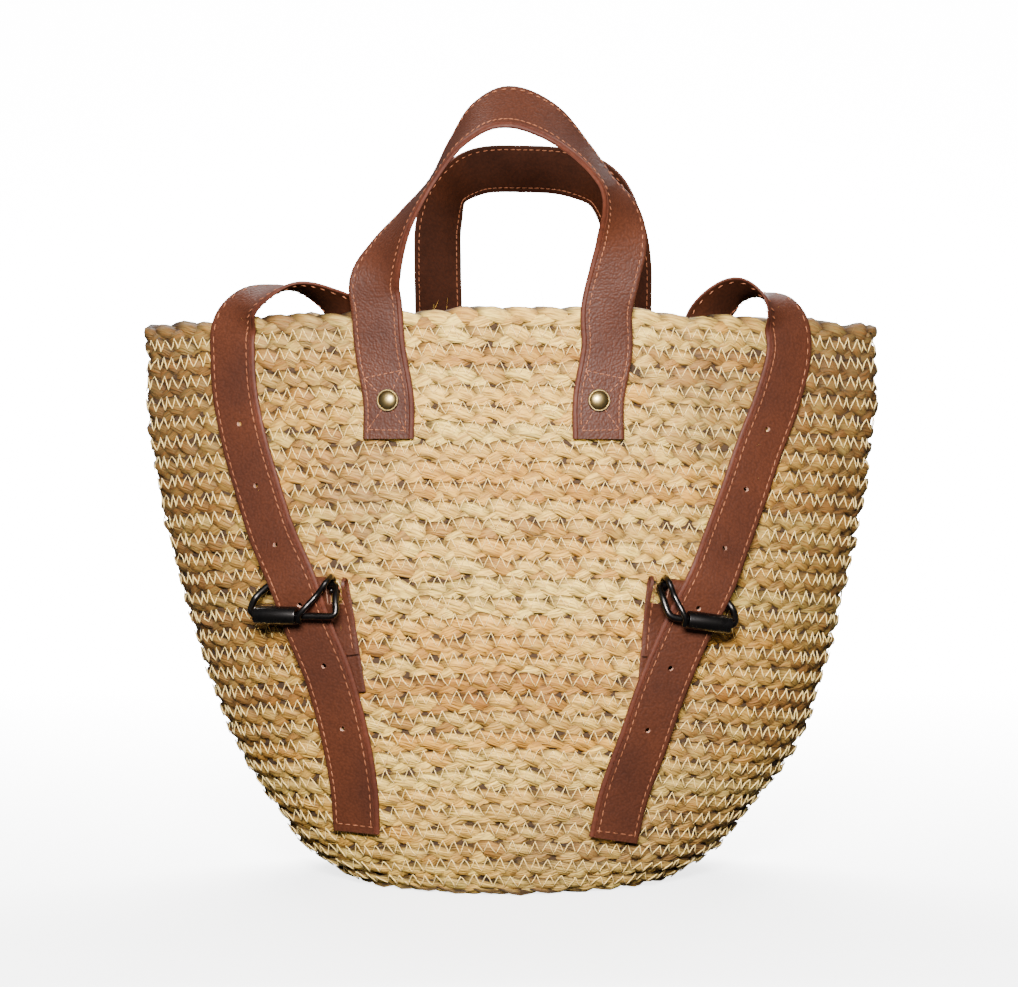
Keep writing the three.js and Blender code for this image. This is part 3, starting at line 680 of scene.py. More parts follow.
def makeBaseRows():
    bundle = Bundle()
    step = bag["deepestHalf"] * basketSections[0]["deep"] / plaitLook["baseRows"]
    for k in range(plaitLook["baseRows"]):
        inset = step * (k + 0.5)
        centre = basketPoint(meridianAngles, 0.0, inset)
        upward = -np.cross(np.array([0.0, 0.0, 1.0]), closedPath(centre))
        sunk = bag["wall"] / 2 + plaitLook["baseSunk"]
        row = framedRow(centre, upward, np.full(len(centre), step), sunk, 3)
        row["centre"][:, 2] = bag["wall"] / 2 + plaitLook["baseRaised"]
        addPlait(bundle, row, plaitLook, rng.uniform(0.3, 0.6), rng.uniform(0.3, 0.6))
    return bundle.piece("basePlait", straw)


rimLook = {
    **plaitLook,
    "lobe": 0.0152,
    "swing": 0.26,
    "halfWide": 0.38,
    "halfThick": 0.0023,
    "dive": 0.0016,
    "tilt": 0.1,
    "steps": 14,
    "corners": 10,
}


def makeRim():
    bundle = Bundle()
    height = bag["rimHeight"] - bag["rimTall"] / 2
    centre = basketPoint(meridianAngles, height)
    up = np.broadcast_to(np.array([0.0, 0.0, 1.0]), centre.shape)
    row = framedRow(centre, up, np.full(len(centre), bag["rimTall"]), bag["wall"] / 2, 4)
    addPlait(bundle, row, rimLook, 0.5, 0.6)
    return row, bundle.piece("rimPlait", straw)


def makeCore():  # thin wall in the middle of the plait, which closes its gaps; its dark colour is painted shade, for the shadow seen through the gaps
    columns = 120
    angles = np.linspace(0, 2 * np.pi, columns, endpoint=False) - np.pi / 2
    heights = np.linspace(0.004, bag["rimHeight"] - bag["rimTall"] * 0.7, 50)
    walls = basketPoint(angles[None, :], heights[:, None], bag["wall"] / 2)
    index = np.arange(len(heights) * columns).reshape(len(heights), columns)
    faces = ringQuads(index[:-1], index[1:]).tolist() + [index[0][::-1].tolist()]
    core = meshPiece("basketCore", walls.reshape(-1, 3), faces, slots=[coreStraw])
    return applied(core, "SOLIDIFY", thickness=plaitLook["coreThick"], offset=0.0)


rows, rowPieces = makeRows()
for piece in rowPieces:
    ridden(piece, "straw", "basket")
ridden(makeBaseRows(), "straw", "basket")
ridden(makeCore(), "straw", "basket")
rimRow, rimPiece = makeRim()
ridden(rimPiece, "straw", "rim_braid")
print("straw rows ready")

# Stray fibres, mostly along the rim
hairLook = {
    "body": 900,
    "rim": 150,
    "lift": 0.0026,
    "rimLift": 0.003,
    "lowest": 0.014,
    "long": (0.003, 0.011),
    "radius": (0.00006, 0.00013),
    "steps": 5,
    "sides": 3,
}


def addHair(bundle, start, way, bend, long, radius, tone):
    w = np.linspace(0, 1, hairLook["steps"])
    place = start + way * (long * w)[:, None] + bend * (long * 0.5 * w * w)[:, None]
    path = unit(np.gradient(place, axis=0))
    wide = unit(np.cross(path, np.array([0.3, 0.5, 0.81])))
    thick = np.cross(path, wide)
    around = 2 * np.pi * np.arange(hairLook["sides"]) / hairLook["sides"]
    rings = tubeRings(place, wide, thick, around, (radius * (1 - 0.7 * w))[:, None, None])
    uv = np.zeros(rings.shape[:2] + (2,))
    tones = np.broadcast_to(tone, rings.shape[:2] + (4,))
    index = bundle.addRing(rings, uv, np.ascontiguousarray(tones), closed=False)
    bundle.ends += [index[0][::-1].tolist(), index[-1].tolist()]


def makeHairs():
    bundle = Bundle()
    spots = [(rows[k], hairLook["lift"]) for k in rng.integers(0, len(rows), hairLook["body"])]
    spots += [(rimRow, hairLook["rimLift"])] * hairLook["rim"]
    for row, lift in spots:
        centre, along, up, out, pitch = (a[0] for a in readRow(row, np.array([rng.uniform(0, 10)])))
        v = rng.uniform(-0.4, 0.5) * pitch
        start = centre + up * v + out * lift * (1 - 0.8 * (v / pitch) ** 2)
        rise = 0.9 if row is rimRow else 0.25
        way = unit(along * rng.normal(0, 1) + up * rng.normal(rise, 0.6) + out * abs(rng.normal(0.15, 0.25)))
        bend = unit(rng.normal(0, 1, 3)) + out * 0.1
        tone = np.array([rng.uniform(0.1, 0.7), rng.uniform(0, 0.6), rng.uniform(0.7, 1), 1])
        if start[2] < hairLook["lowest"]:
            continue
        long, radius = rng.uniform(*hairLook["long"]), rng.uniform(*hairLook["radius"])
        addHair(bundle, start, way, bend * 0.6, long, radius, tone)
    ridden(bundle.piece("strayFibres", straw), "straw", "basket")


makeHairs()
print("stray fibres ready")

# Zigzag thread that sews each row to the next
seamLook = {
    "pitch": 0.0064,
    "tall": 0.0033,
    "radius": 0.00036,
    "standsOut": 0.75,  # how far its middle lies above the plait, as a share of its radius
    "shiftNoise": 0.0003,
    "tallNoise": 0.12,
    "reach": 0.012,
    "missed": 0.0026,  # height where no plait is met
    "sides": 3,
}


def surfaceOf(pieces):
    points, faces = [], []
    for piece in pieces:
        faces += [[i + len(points) for i in face.vertices] for face in piece.data.polygons]
        points += [vertex.co.copy() for vertex in piece.data.vertices]
    return BVHTree.FromPolygons(points, faces)


def heightsOver(tree, places, ways, reach):  # how far the surface stands out from each place
    heights = []
    for place, way in zip(places, ways):
        hit = tree.ray_cast(Vector(place + way * reach), Vector(-way), reach)
        heights.append(reach - hit[3] if hit[0] is not None else seamLook["missed"])
    return np.array(heights)


def addZigzag(bundle, share, outside):
    row = framedRow(*rowCurve(share), bag["wall"] / 2)
    total = row["walked"][-1]
    legs = 2 * round(total / (seamLook["pitch"] * rng.uniform(0.95, 1.05)))
    perLeg = 3 if outside else 2
    count = legs * perLeg
    k = np.arange(count)
    s = k * total / count + np.repeat(rng.normal(0, seamLook["shiftNoise"], legs), perLeg)
    place, _, up, out, _ = readRow(row, s)
    side = 1.0 if outside else -1.0
    leg, part = k // perLeg, k % perLeg
    ends = np.where(np.arange(legs) % 2 == 0, 1.0, -1.0) * (1 + rng.normal(0, seamLook["tallNoise"], legs))
    w = part / perLeg
    v = seamLook["tall"] * (ends[leg] * (1 - w) + ends[(leg + 1) % legs] * w)
    place = place + up * v[:, None]
    h = heightsOver(plaitTree, place, out * side, seamLook["reach"])
    h = np.maximum(h, (np.roll(h, 1) + np.roll(h, -1)) / 2)  # taut over the hollows
    place = place + out * (side * (h + seamLook["radius"] * seamLook["standsOut"]))[:, None]
    path = closedPath(place)
    thick = squared(out, path)
    wide = np.cross(thick, path)
    around = 2 * np.pi * np.arange(seamLook["sides"]) / seamLook["sides"] + np.pi / 2
    rings = tubeRings(place, wide, thick, around, seamLook["radius"])
    bundle.addRing(rings, np.zeros(rings.shape[:2] + (2,)), np.full(rings.shape[:2] + (4,), 0.5))


def makeSeams():
    for outside, name in ((True, "outerStitching"), (False, "innerStitching")):
        bundle = Bundle()
        for i in range(1, plaitLook["rows"] + 1):
            addZigzag(bundle, min(i / plaitLook["rows"], 0.998), outside)
        ridden(bundle.piece(name, thread), "straw", "basket")


plaitTree = surfaceOf([*rowPieces, rimPiece])
makeSeams()
print("seams ready")

# Leather bands
bandLook = {
    "stitchIn": 0.0026,
    "stripIn": 0.0044,
    "stitchDip": 0.00012,
    "edgeGroove": 0.0004,
    "edgeWide": 0.0003,
    "stripWide": 0.0026,
    "step": 0.0022,
}

# Half outlines of a band: in from its edge, share of half its thickness, and depth below that.
bandOutlines = {
    "strip": [  # with the edge of an under layer seen beside it
        (0.006, 1, 0), (bandLook["stripIn"], 1, bandLook["stitchDip"]), (0.0032, 1, 0), (0.0026, 1, 0.0001),
        (0.0023, 1, 0.0006), (0.0020, 1, 0.0003), (0.0011, 1, 0.0003), (0.0004, 1, 0.0006), (0, 1, 0.001),
        (0, -0.1, 0), (0, -0.6, 0),
    ],
    "plain": [
        (0.0045, 1, 0), (0.0034, 1, 0), (bandLook["stitchIn"], 1, bandLook["stitchDip"]), (0.0018, 1, 0),
        (0.0009, 1, 0.00005), (0.0003, 1, 0.00025), (0, 0.52, 0), (0, 0.22, 0), (bandLook["edgeGroove"], 0, 0),
        (0, -0.22, 0), (0, -0.52, 0),
    ],
    "back": [
        (0.0003, -1, -0.00025), (0.0009, -1, -0.00005), (0.0018, -1, 0),
        (bandLook["stitchIn"], -1, -bandLook["stitchDip"]), (0.0034, -1, 0),
    ],
}


def bandProfile(width, thick, strip):  # outline of a band with its under layer seen on one side
    w, t = width / 2, thick / 2

    def half(side):
        outline = bandOutlines["strip" if side == strip else "plain"] + bandOutlines["back"]
        return [(side * (w - inwards), share * t - below) for inwards, share, below in outline]
    return np.array([(0.0, t)] + half(-1) + [(0.0, -t)] + half(1)[::-1])


def makeBand(name, route, width, thick, strip=0, inner=leatherBack):
    profile = bandProfile(width, thick, strip)
    shares = route.evenShares(bandLook["step"])[0]
    at, _, face, across = route.read(shares)
    rings = at[:, None] + across[:, None] * profile[None, :, 0:1] + face[:, None] * profile[None, :, 1:2]
    corners = len(profile)
    index = np.arange(rings.shape[0] * corners).reshape(-1, corners)
    faces = ringQuads(index[:-1], index[1:])[:, ::-1].tolist()
    middle = (profile + np.roll(profile, -1, axis=0)) / 2
    faceSlot, backSlot, edgeSlot = 0, 1, 2
    atEdge = np.abs(middle[:, 0]) > width / 2 - bandLook["edgeWide"]
    onStrip = (middle[:, 0] * strip > width / 2 - bandLook["stripWide"]) & (middle[:, 1] > 0)
    kinds = np.where(atEdge | onStrip, edgeSlot, np.where(middle[:, 1] > 0, faceSlot, backSlot))
    slotOf = np.tile(kinds, len(index) - 1).tolist() + [edgeSlot, edgeSlot]
    faces += [index[0].tolist(), index[-1][::-1].tolist()]
    band = meshPiece(name, rings.reshape(-1, 3), faces, slots=[leatherFace, inner, leatherEdge, rawLeather],
                     slotOf=slotOf)
    return smoothBy(edited(band, (bpy.ops.mesh.normals_make_consistent, {"inside": False})), 40)


def stitchTemplate():  # one stitch: a short rounded bar that dips at its ends, made along X
    bpy.ops.mesh.primitive_cylinder_add(vertices=6, radius=0.5, depth=1, end_fill_type="TRIFAN",
                                        rotation=(0, math.pi / 2, 0))
    stitch = settled(bpy.context.object)
    cuts = [{"plane_co": (x, 0, 0), "plane_no": (1, 0, 0)} for x in (-0.2, 0.2)]
    edited(stitch, *((bpy.ops.mesh.bisect, cut) for cut in cuts))
    points = np.array([v.co for v in stitch.data.vertices])
    faces = [list(p.vertices) for p in stitch.data.polygons]
    bpy.data.objects.remove(stitch)
    ends = np.abs(points[:, 0]) * 2
    points[:, 1:] *= (1 - 0.5 * ends**3)[:, None]
    points[:, 2] -= 0.35 * ends**2
    return points, faces


stitchPoints, stitchFaces = stitchTemplate()
stitchLook = {"long": 0.78, "wide": 0.0006, "tall": 0.0005}


class StitchBundle:
    def __init__(self):
        self.points, self.faces = [], []

    def add(self, at, along, face, pitch):
        long = pitch * stitchLook["long"] * rng.uniform(0.9, 1.05)
        size = np.array([long, stitchLook["wide"], stitchLook["tall"]])
        across = np.cross(face, along)
        slant = along + across * rng.normal(0.06, 0.03)
        slant /= np.linalg.norm(slant)
        across = np.cross(face, slant)
        scaled = stitchPoints * size
        base = len(self.points) * len(stitchPoints)
        self.points.append(at + scaled[:, :1] * slant + scaled[:, 1:2] * across + scaled[:, 2:] * face)
        self.faces += [[base + i for i in f] for f in stitchFaces]

    def piece(self, name):
        return meshPiece(name, np.concatenate(self.points), self.faces, slots=[stitchThread])


def stitchEdges(bundle, route, width, thick, pitch, strip=0, sides=(1, -1), begin=0.004, finish=0.004):
    fine, length = route.evenShares(0.001)
    count = int((length - begin - finish) / pitch)
    for edge in (-1, 1):
        start = begin + rng.uniform(0, 0.002)
        for k in range(count):
            share = np.interp(start + pitch * k, np.linspace(0, length, len(fine)), fine)
            at, along, face, across = (a[0] for a in route.read(share))
            for side in sides:
                inwards = bandLook["stripIn" if edge == strip and side > 0 else "stitchIn"]
                spot = at + across * edge * (width / 2 - inwards) + face * side * thick / 2
                bundle.add(spot, along, face * side, pitch)


def stitchLine(bundle, route, thick, pitch, first, second):  # between two (distance, across) places
    first, second = np.array(first), np.array(second)
    length = np.linalg.norm(second - first)
    count = max(2, round(length / pitch))
    for k in range(count):
        distance, offset = first + (second - first) * (k + 0.5) / count
        at, along, face, across = (a[0] for a in route.read(route.shareAt(distance)))
        way = unit(along * (second[0] - first[0]) + across * (second[1] - first[1]))
        bundle.add(at + across * offset + face * thick / 2, way, face, pitch)


def rideLeather(name, band, stitches, node):
    ridden(band, "leather", node)
    ridden(stitches.piece(f"{name}Stitches"), "leather", node)


# Hand handles
handleLook = {
    "width": 0.027,
    "thick": 0.0028,
    "legSpacing": 0.109,
    "rivetBelow": 0.047,
    "endBelow": 0.067,
    "lean": 0.014,
    "stitchPitch": 0.0036,
    "boxFrom": 0.0045,
    "boxTo": 0.034,
}
frontHandle = {
    "mid": -0.0095,
    "rise": 0.104,
    "side": -1,
    "spread": 1.08,
    "bends": table(
        "out rise lean side front top",
        (-1.12, 0.02, 0.1, -0.12, 1, 0),
        (-1.14, 0.13, 0.2, -0.18, 1, 0.05),
        (-1.03, 0.28, 0.3, -0.55, 0.7, 0.3),
        (-0.84, 0.45, 0.45, -0.7, 0.36, 0.6),
        (-0.58, 0.64, 0.6, -0.8, 0.12, 0.55),
        (-0.35, 0.83, 0.75, -0.7, 0.28, 0.6),
        (-0.1, 0.96, 0.9, -0.3, 0.64, 0.7),
        (0.15, 1.0, 1.0, 0.05, 0.82, 0.57),
        (0.49, 0.94, 0.9, 0.35, 0.72, 0.6),
        (0.83, 0.79, 0.75, 0.66, 0.42, 0.6),
        (1.06, 0.64, 0.6, 0.8, 0.32, 0.48),
        (1.2, 0.49, 0.45, 0.58, 0.7, 0.3),
        (1.22, 0.34, 0.3, 0.25, 0.95, 0.1),
        (1.15, 0.17, 0.2, 0.08, 1, 0),
        (1.08, 0.0, 0.1, 0.08, 1, 0),
    ),
}
backHandle = {
    "mid": 0.0125,
    "rise": 0.084,
    "side": 1,
    "spread": 1,
    "bends": table(
        "out rise lean side front top",
        (-1.0, 0.02, 0.1, -0.1, 1, 0),
        (-1.01, 0.35, 0.35, -0.1, 1, 0),
        (-1.0, 0.62, 0.55, -0.25, 1, 0.1),
        (-0.88, 0.86, 0.75, -0.45, 0.8, 0.4),
        (-0.6, 0.98, 0.95, -0.15, 1, 0.2),
        (-0.1, 1.0, 1.0, 0, 1, 0.05),
        (0.4, 0.97, 1.0, 0.05, 1, 0.1),
        (0.74, 0.87, 0.9, 0.35, 0.9, 0.3),
        (0.92, 0.66, 0.7, 0.45, 0.85, 0.2),
        (1.0, 0.36, 0.4, 0.15, 1, 0),
        (1.0, 0.02, 0.1, 0.1, 1, 0),
    ),
}
legHalf = handleLook["legSpacing"] / 2
rimProud = (bag["rimThick"] - bag["wall"]) / 2
rimBottom = bag["rimHeight"] - bag["rimTall"]


def legSpot(handle, end, z, out=1, proud=0.0):
    lift = bag["gap"] + proud + handleLook["thick"] / 2
    return outsideSpot(handle["mid"] + end * out * legHalf, z, handle["side"], lift)


def handleRoute(handle):
    foot = bag["rimHeight"] - handleLook["endBelow"]
    rivet = bag["rimHeight"] - handleLook["rivetBelow"]

    def leg(end):
        return [
            legSpot(handle, end, foot),
            legSpot(handle, end, rivet),
            legSpot(handle, end, rimBottom - bag["rimTall"], handle["spread"], rimProud / 2),
        ]
    stems = [legSpot(handle, end, bag["rimHeight"], handle["spread"], rimProud)[0][1] for end in (-1, 1)]
    loop = []
    for bend in handle["bends"]:
        x = handle["mid"] + bend["out"] * legHalf
        stem = stems[0] + (stems[1] - stems[0]) * (bend["out"] + 1) / 2
        y = stem + handle["side"] * bend["lean"] * handleLook["lean"]
        at = np.array([x, y, bag["rimHeight"] + bend["rise"] * handle["rise"]])
        loop.append((at, np.array([bend["side"], handle["side"] * bend["front"], bend["top"]])))
    return StrapRoute(leg(-1) + loop + leg(1)[::-1])


def makeHandle(name, handle):
    route = handleRoute(handle)
    width, thick = handleLook["width"], handleLook["thick"]
    strip = -1 if handle is frontHandle else 1
    band = makeBand(f"{name}Handle", route, width, thick, strip)
    stitches = StitchBundle()
    pitch = handleLook["stitchPitch"]
    stitchEdges(stitches, route, width, thick, pitch, strip)
    length = route.evenShares(0.001)[1]
    edges = {end: width / 2 - bandLook["stripIn" if end == strip else "stitchIn"] for end in (-1, 1)}
    for fromEnd in (lambda d: d, lambda d: length - d):  # a box with a cross at each end
        low, high = fromEnd(handleLook["boxFrom"]), fromEnd(handleLook["boxTo"])
        lowIn, lowOut, highIn, highOut = ((d, across) for d in (low, high) for across in (-edges[-1], edges[1]))
        for first, second in ((lowIn, lowOut), (highIn, highOut), (lowIn, highOut), (lowOut, highIn)):
            stitchLine(stitches, route, thick, pitch, first, second)
    rideLeather(f"{name}Handle", band, stitches, f"handle_{name}")


# Rivets
rivetLook = {
    "cap": 0.0059,
    "capTall": 0.003,
    "dome": 0.93,  # radius of the dome as a share of the cap
    "bead": 0.0006,
    "overlap": 0.0002,
    "post": 0.0016,
    "washer": 0.0046,
    "washerThick": 0.0012,
    "bevel": 0.0003,
}


def makeRivet(name, handle, end):
    look, overlap = rivetLook, rivetLook["overlap"]
    lift = 2 * bag["gap"] + handleLook["thick"]
    through = lift + bag["gap"] + bag["wall"]
    bpy.ops.mesh.primitive_uv_sphere_add(segments=40, ring_count=24, radius=1)
    cap = bpy.context.object
    cap.scale = (look["cap"] * look["dome"], look["cap"] * look["dome"], look["capTall"] - overlap)
    halving = {"plane_co": (0, 0, overlap), "plane_no": (0, 0, 1), "clear_inner": True, "use_fill": True}
    edited(settled(cap), (bpy.ops.mesh.bisect, halving))
    bpy.ops.mesh.primitive_torus_add(major_radius=look["cap"] - look["bead"], minor_radius=look["bead"],
                                     major_segments=40, minor_segments=10, location=(0, 0, look["bead"]))
    parts = [cap, settled(bpy.context.object)]
    for radius, top, bottom in ((look["post"], 2 * overlap, -through - overlap),
                                (look["washer"], -through, -through - look["washerThick"])):
        bpy.ops.mesh.primitive_cylinder_add(vertices=32, radius=radius, depth=top - bottom,
                                            location=(0, 0, (top + bottom) / 2))
        part = settled(bpy.context.object)
        parts.append(applied(part, "BEVEL", width=look["bevel"], segments=2, limit_method="ANGLE"))
    at, face = outsideSpot(handle["mid"] + end * legHalf, bag["rimHeight"] - handleLook["rivetBelow"],
                           handle["side"], lift)
    return smoothBy(painted(stoodAt(joined(parts, name), at, face), brassAged), 35)


for label, handle in (("front", frontHandle), ("back", backHandle)):
    makeHandle(label, handle)
    for endLabel, end in (("left", -1), ("right", 1)):
        ridden(makeRivet(f"{label}Rivet{endLabel.title()}", handle, end), "brass", f"rivet_{label}_{endLabel}")
print("handles ready")

# Shoulder straps
strapLook = {
    "width": 0.027,
    "thick": 0.0024,
    "stitchPitch": 0.0046,
    "lineAt": 0.004,
    "tabWidth": 0.024,
    "tabThick": 0.0016,
    "wire": 0.002,
    "frameSwell": 0.00022,  # makes up for what rounding takes off
    "prongSwell": 0.00042,
    "roller": 0.0047,
    "rollerEdge": 0.0005,
    "rollerLong": 0.0235,
    "prong": 0.0013,
    "slotWide": 0.0086,
    "slotIn": 0.0026,
    "tabShift": 0.0035,
    "slotLong": 0.015,
    "barDrop": 0.016,
    "corner": 0.003,
    "tabLong": 0.058,
    "tabTurnedIn": 0.038,
    "overFold": 1.1,
    "underBar": 0.8,
    "archRise": 0.014,
    "innerEndBelow": 0.055,
    "punch": 0.0014,
    "punchCount": 6,
    "punchPitch": 0.0348,
}
foldRadius = strapLook["wire"] + bag["bearing"] + strapLook["tabThick"]
prongRing = strapLook["wire"] + 2 * bag["bearing"] + strapLook["prong"]
hingeOff = bag["gap"] + prongRing + strapLook["prong"]
strapLift = hingeOff + foldRadius
barOff = strapLook["underBar"] * strapLift + strapLook["thick"] + strapLook["roller"] + 2 * bag["gap"]

leftStrap = {
    "side": -1,
    "pastRivet": 0.003,
    "punchFromEnd": 0.0576,
    "buckle": {"up": 0.5387, "out": 0.462, "tilt": 0, "endOut": 0.4355, "reach": 0.0421},
    "run": table(
        "up out off",
        (0.113, 0.402, 0.25),
        (0.19, 0.411, 0.1),
        (0.29, 0.435, 0.22),
        (0.386, 0.471, 0.42),
        (0.47, 0.518, 0.7),
        (0.545, 0.551, strapLook["overFold"]),
        (0.62, 0.613, 0.6),
        (0.7, 0.664, 0.16),
        (0.78, 0.704, 0.02),
        (0.86, 0.73, 0.0),
        (0.925, 0.738, 0.02),
    ),
    "bends": table(
        "along over rise turn slant",
        (0.0, 0.0, -0.7, 6, 0.42),
        (0.1, 0.12, 0.2, 38, 0.55),
        (0.3, 0.42, 0.68, 72, 0.45),
        (0.56, 0.74, 0.86, 100, 0),
        (0.8, 0.98, 0.45, 122, -0.5),
        (0.95, 1.2, -0.15, 150, -0.3),
    ),
}
rightStrap = {
    "side": 1,
    "pastRivet": 0.0408,
    "punchFromEnd": 0.062,
    "buckle": {"up": 0.5387, "out": 0.39, "tilt": -0.14, "endOut": 0.383, "reach": 0.0386},
    "run": table(
        "up out off",
        (0.105, 0.262, 0.25),
        (0.18, 0.29, 0.1),
        (0.27, 0.337, 0.22),
        (0.36, 0.381, 0.42),
        (0.46, 0.442, 0.66),
        (0.545, 0.5, strapLook["overFold"]),
        (0.615, 0.551, 0.6),
        (0.685, 0.601, 0.16),
        (0.76, 0.645, 0.02),
        (0.85, 0.7, 0.0),
        (0.925, 0.732, 0.02),
    ),
    "bends": table(
        "along over rise turn slant",
        (0.0, 0.0, -0.7, 6, 0.42),
        (0.1, 0.15, 0.05, 38, 0.5),
        (0.32, 0.5, 0.58, 86, 0.42),
        (0.62, 0.9, 0.72, 124, 0),
        (0.88, 1.2, 0.2, 146, -0.4),
        (0.98, 1.3, -0.45, 165, -0.2),
    ),
}


def shoulderRoute(strap):
    half = strapLook["thick"] / 2
    lift = bag["gap"] + half
    widest, side = bag["widestHalf"], strap["side"]
    run = [outsideSpot(side * widest * r["out"], bag["rimHeight"] * r["up"], -1, lift + strapLift * r["off"])
           for r in strap["run"]]
    crossing = widest * strap["run"][-1]["out"]
    rivetOut = legHalf + side * frontHandle["mid"]
    innerOut = rivetOut + rivetLook["washer"] + strap["pastRivet"] + strapLook["width"] / 2
    arch = []
    for bend in strap["bends"]:
        x = side * (crossing + (innerOut - crossing) * bend["along"])
        outside = outsideSpot(x, rimBottom, -1, lift + rimProud)[0][1]
        inside = insideSpot(x, rimBottom, -1, lift + rimProud)[0][1]
        turn = math.radians(bend["turn"])
        y = outside + (inside - outside) * bend["over"]
        z = bag["rimHeight"] + bend["rise"] * strapLook["archRise"]
        arch.append((np.array([x, y, z]), np.array([side * bend["slant"], -math.cos(turn), math.sin(turn)])))
    below = [strapLook["innerEndBelow"] * share for share in (0.3, 0.6, 1)]
    inner = [insideSpot(side * innerOut, bag["rimHeight"] - b, -1, lift + rimProud) for b in below]
    return StrapRoute(run + arch + inner)


def cutWith(piece, cutters):  # cuts holes and gives their walls the cutters' material
    cutter = joined(cutters, "cutter")
    applied(piece, "BOOLEAN", object=cutter, operation="DIFFERENCE", solver="EXACT", material_mode="TRANSFER")
    bpy.data.objects.remove(cutter)


def makeStrap(name, strap):
    route = shoulderRoute(strap)
    width, thick = strapLook["width"], strapLook["thick"]
    strip = strap["side"]
    band = makeBand(f"{name}Strap", route, width, thick, strip)
    cutters = []
    for k in range(strapLook["punchCount"]):
        share = route.shareAt(strap["punchFromEnd"] + strapLook["punchPitch"] * k)
        at, _, face, _ = (a[0] for a in route.read(share))
        turn = Vector((0, 0, 1)).rotation_difference(Vector(face)).to_euler()
        bpy.ops.mesh.primitive_cylinder_add(vertices=20, radius=strapLook["punch"], depth=4 * thick,
                                            location=Vector(at), rotation=turn)
        cutters.append(painted(settled(bpy.context.object), rawLeather))
    cutWith(band, cutters)
    smoothBy(band, 40)
    stitches = StitchBundle()
    stitchEdges(stitches, route, width, thick, strapLook["stitchPitch"], strip)
    edge, lineAt = width / 2 - bandLook["stitchIn"], strapLook["lineAt"]
    stitchLine(stitches, route, thick, strapLook["stitchPitch"], (lineAt, -edge), (lineAt, edge))
    rideLeather(f"{name}Strap", band, stitches, f"shoulder_strap_{name}")


# Buckles
def bucklePlace(strap):
    buckle, side = strap["buckle"], strap["side"]
    x, z = side * bag["widestHalf"] * buckle["out"], bag["rimHeight"] * buckle["up"]
    at, face = wallSpot(x, z, -1)
    outwards = np.array([side, 0.0, 0.0])
    outwards = unit(outwards - face * outwards.dot(face))
    outwards = np.array(Matrix.Rotation(buckle["tilt"], 3, Vector(face)) @ Vector(outwards))
    upwards = np.cross(face, outwards)
    upwards = upwards * np.sign(upwards[2])

    def place(out, up, off):
        return at + outwards * out + upwards * up + face * off
    return place, outwards, upwards, face


def makeTab(name, strap):
    place, _, upwards, face = bucklePlace(strap)
    buckle, side = strap["buckle"], strap["side"]
    thick, width = strapLook["tabThick"], strapLook["tabWidth"]
    mid = strapLook["wire"] + bag["bearing"] + thick / 2
    shift = strapLook["tabShift"]

    def hanging(down, layer):
        first = bag["widestHalf"] * buckle["out"] + shift
        out = first + (bag["widestHalf"] * buckle["endOut"] - first) * down / strapLook["tabLong"]
        lift = bag["gap"] + thick / 2 + layer * (thick + bag["bearing"])
        return outsideSpot(side * out, bag["rimHeight"] * buckle["up"] - down, -1, lift)

    def back(down):
        at, outFace = hanging(down, 0)
        return at, -outFace
    turnedIn = strapLook["tabTurnedIn"]
    rowsOfTab = [
        hanging(turnedIn, 1),
        hanging(turnedIn / 2, 1),
        (place(shift, -0.9 * prongRing, hingeOff + mid * 0.8), face),
        (place(shift, 0, hingeOff + mid), face),
        (place(shift, 0.7 * mid, hingeOff + 0.7 * mid), face + upwards),
        (place(shift, mid, hingeOff), upwards),
        (place(shift, 0.7 * mid, hingeOff - 0.7 * mid), upwards - face),
        (place(shift, 0, hingeOff - mid), -face),
        back(turnedIn / 2),
        back(turnedIn),
        back(strapLook["tabLong"]),
    ]
    route = StrapRoute(rowsOfTab)
    tab = makeBand(f"{name}Tab", route, width, thick, inner=tabLeather)
    bpy.ops.mesh.primitive_cube_add(size=1)
    slot = bpy.context.object
    slot.data.materials.append(rawLeather)
    slot.scale = (strapLook["slotWide"], strapLook["slotLong"], 4 * foldRadius)
    settled(slot)
    sideways = np.cross(upwards, face)
    turn = Matrix((Vector(sideways), Vector(upwards), Vector(face))).transposed().to_4x4()
    middle = place(-strapLook["slotIn"], foldRadius + 2 * bag["gap"] - strapLook["slotLong"] / 2, hingeOff)
    slot.data.transform(Matrix.Translation(Vector(middle)) @ turn)
    cutWith(tab, [slot])
    smoothBy(tab, 40)
    stitches = StitchBundle()
    stitchEdges(stitches, route, width, thick, strapLook["stitchPitch"], sides=(1,))
    rideLeather(f"{name}Tab", tab, stitches, f"buckle_tab_{name}")


def smoothCopy(name, node, swell):  # a wire from the frame, made round
    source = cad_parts[node]
    piece = source.copy()
    piece.data = source.data.copy()
    piece.name = name
    bpy.context.scene.collection.objects.link(piece)
    piece.parent = None
    piece.matrix_world = Matrix.Identity(4)
    edited(piece, (bpy.ops.mesh.remove_doubles, {"threshold": 1e-5}), (bpy.ops.mesh.tris_convert_to_quads, {}))
    applied(piece, "SUBSURF", levels=2, render_levels=2)
    applied(piece, "DISPLACE", strength=swell, mid_level=0.0)
    bpy.ops.object.shade_smooth()
    return painted(piece, gunmetalDark)


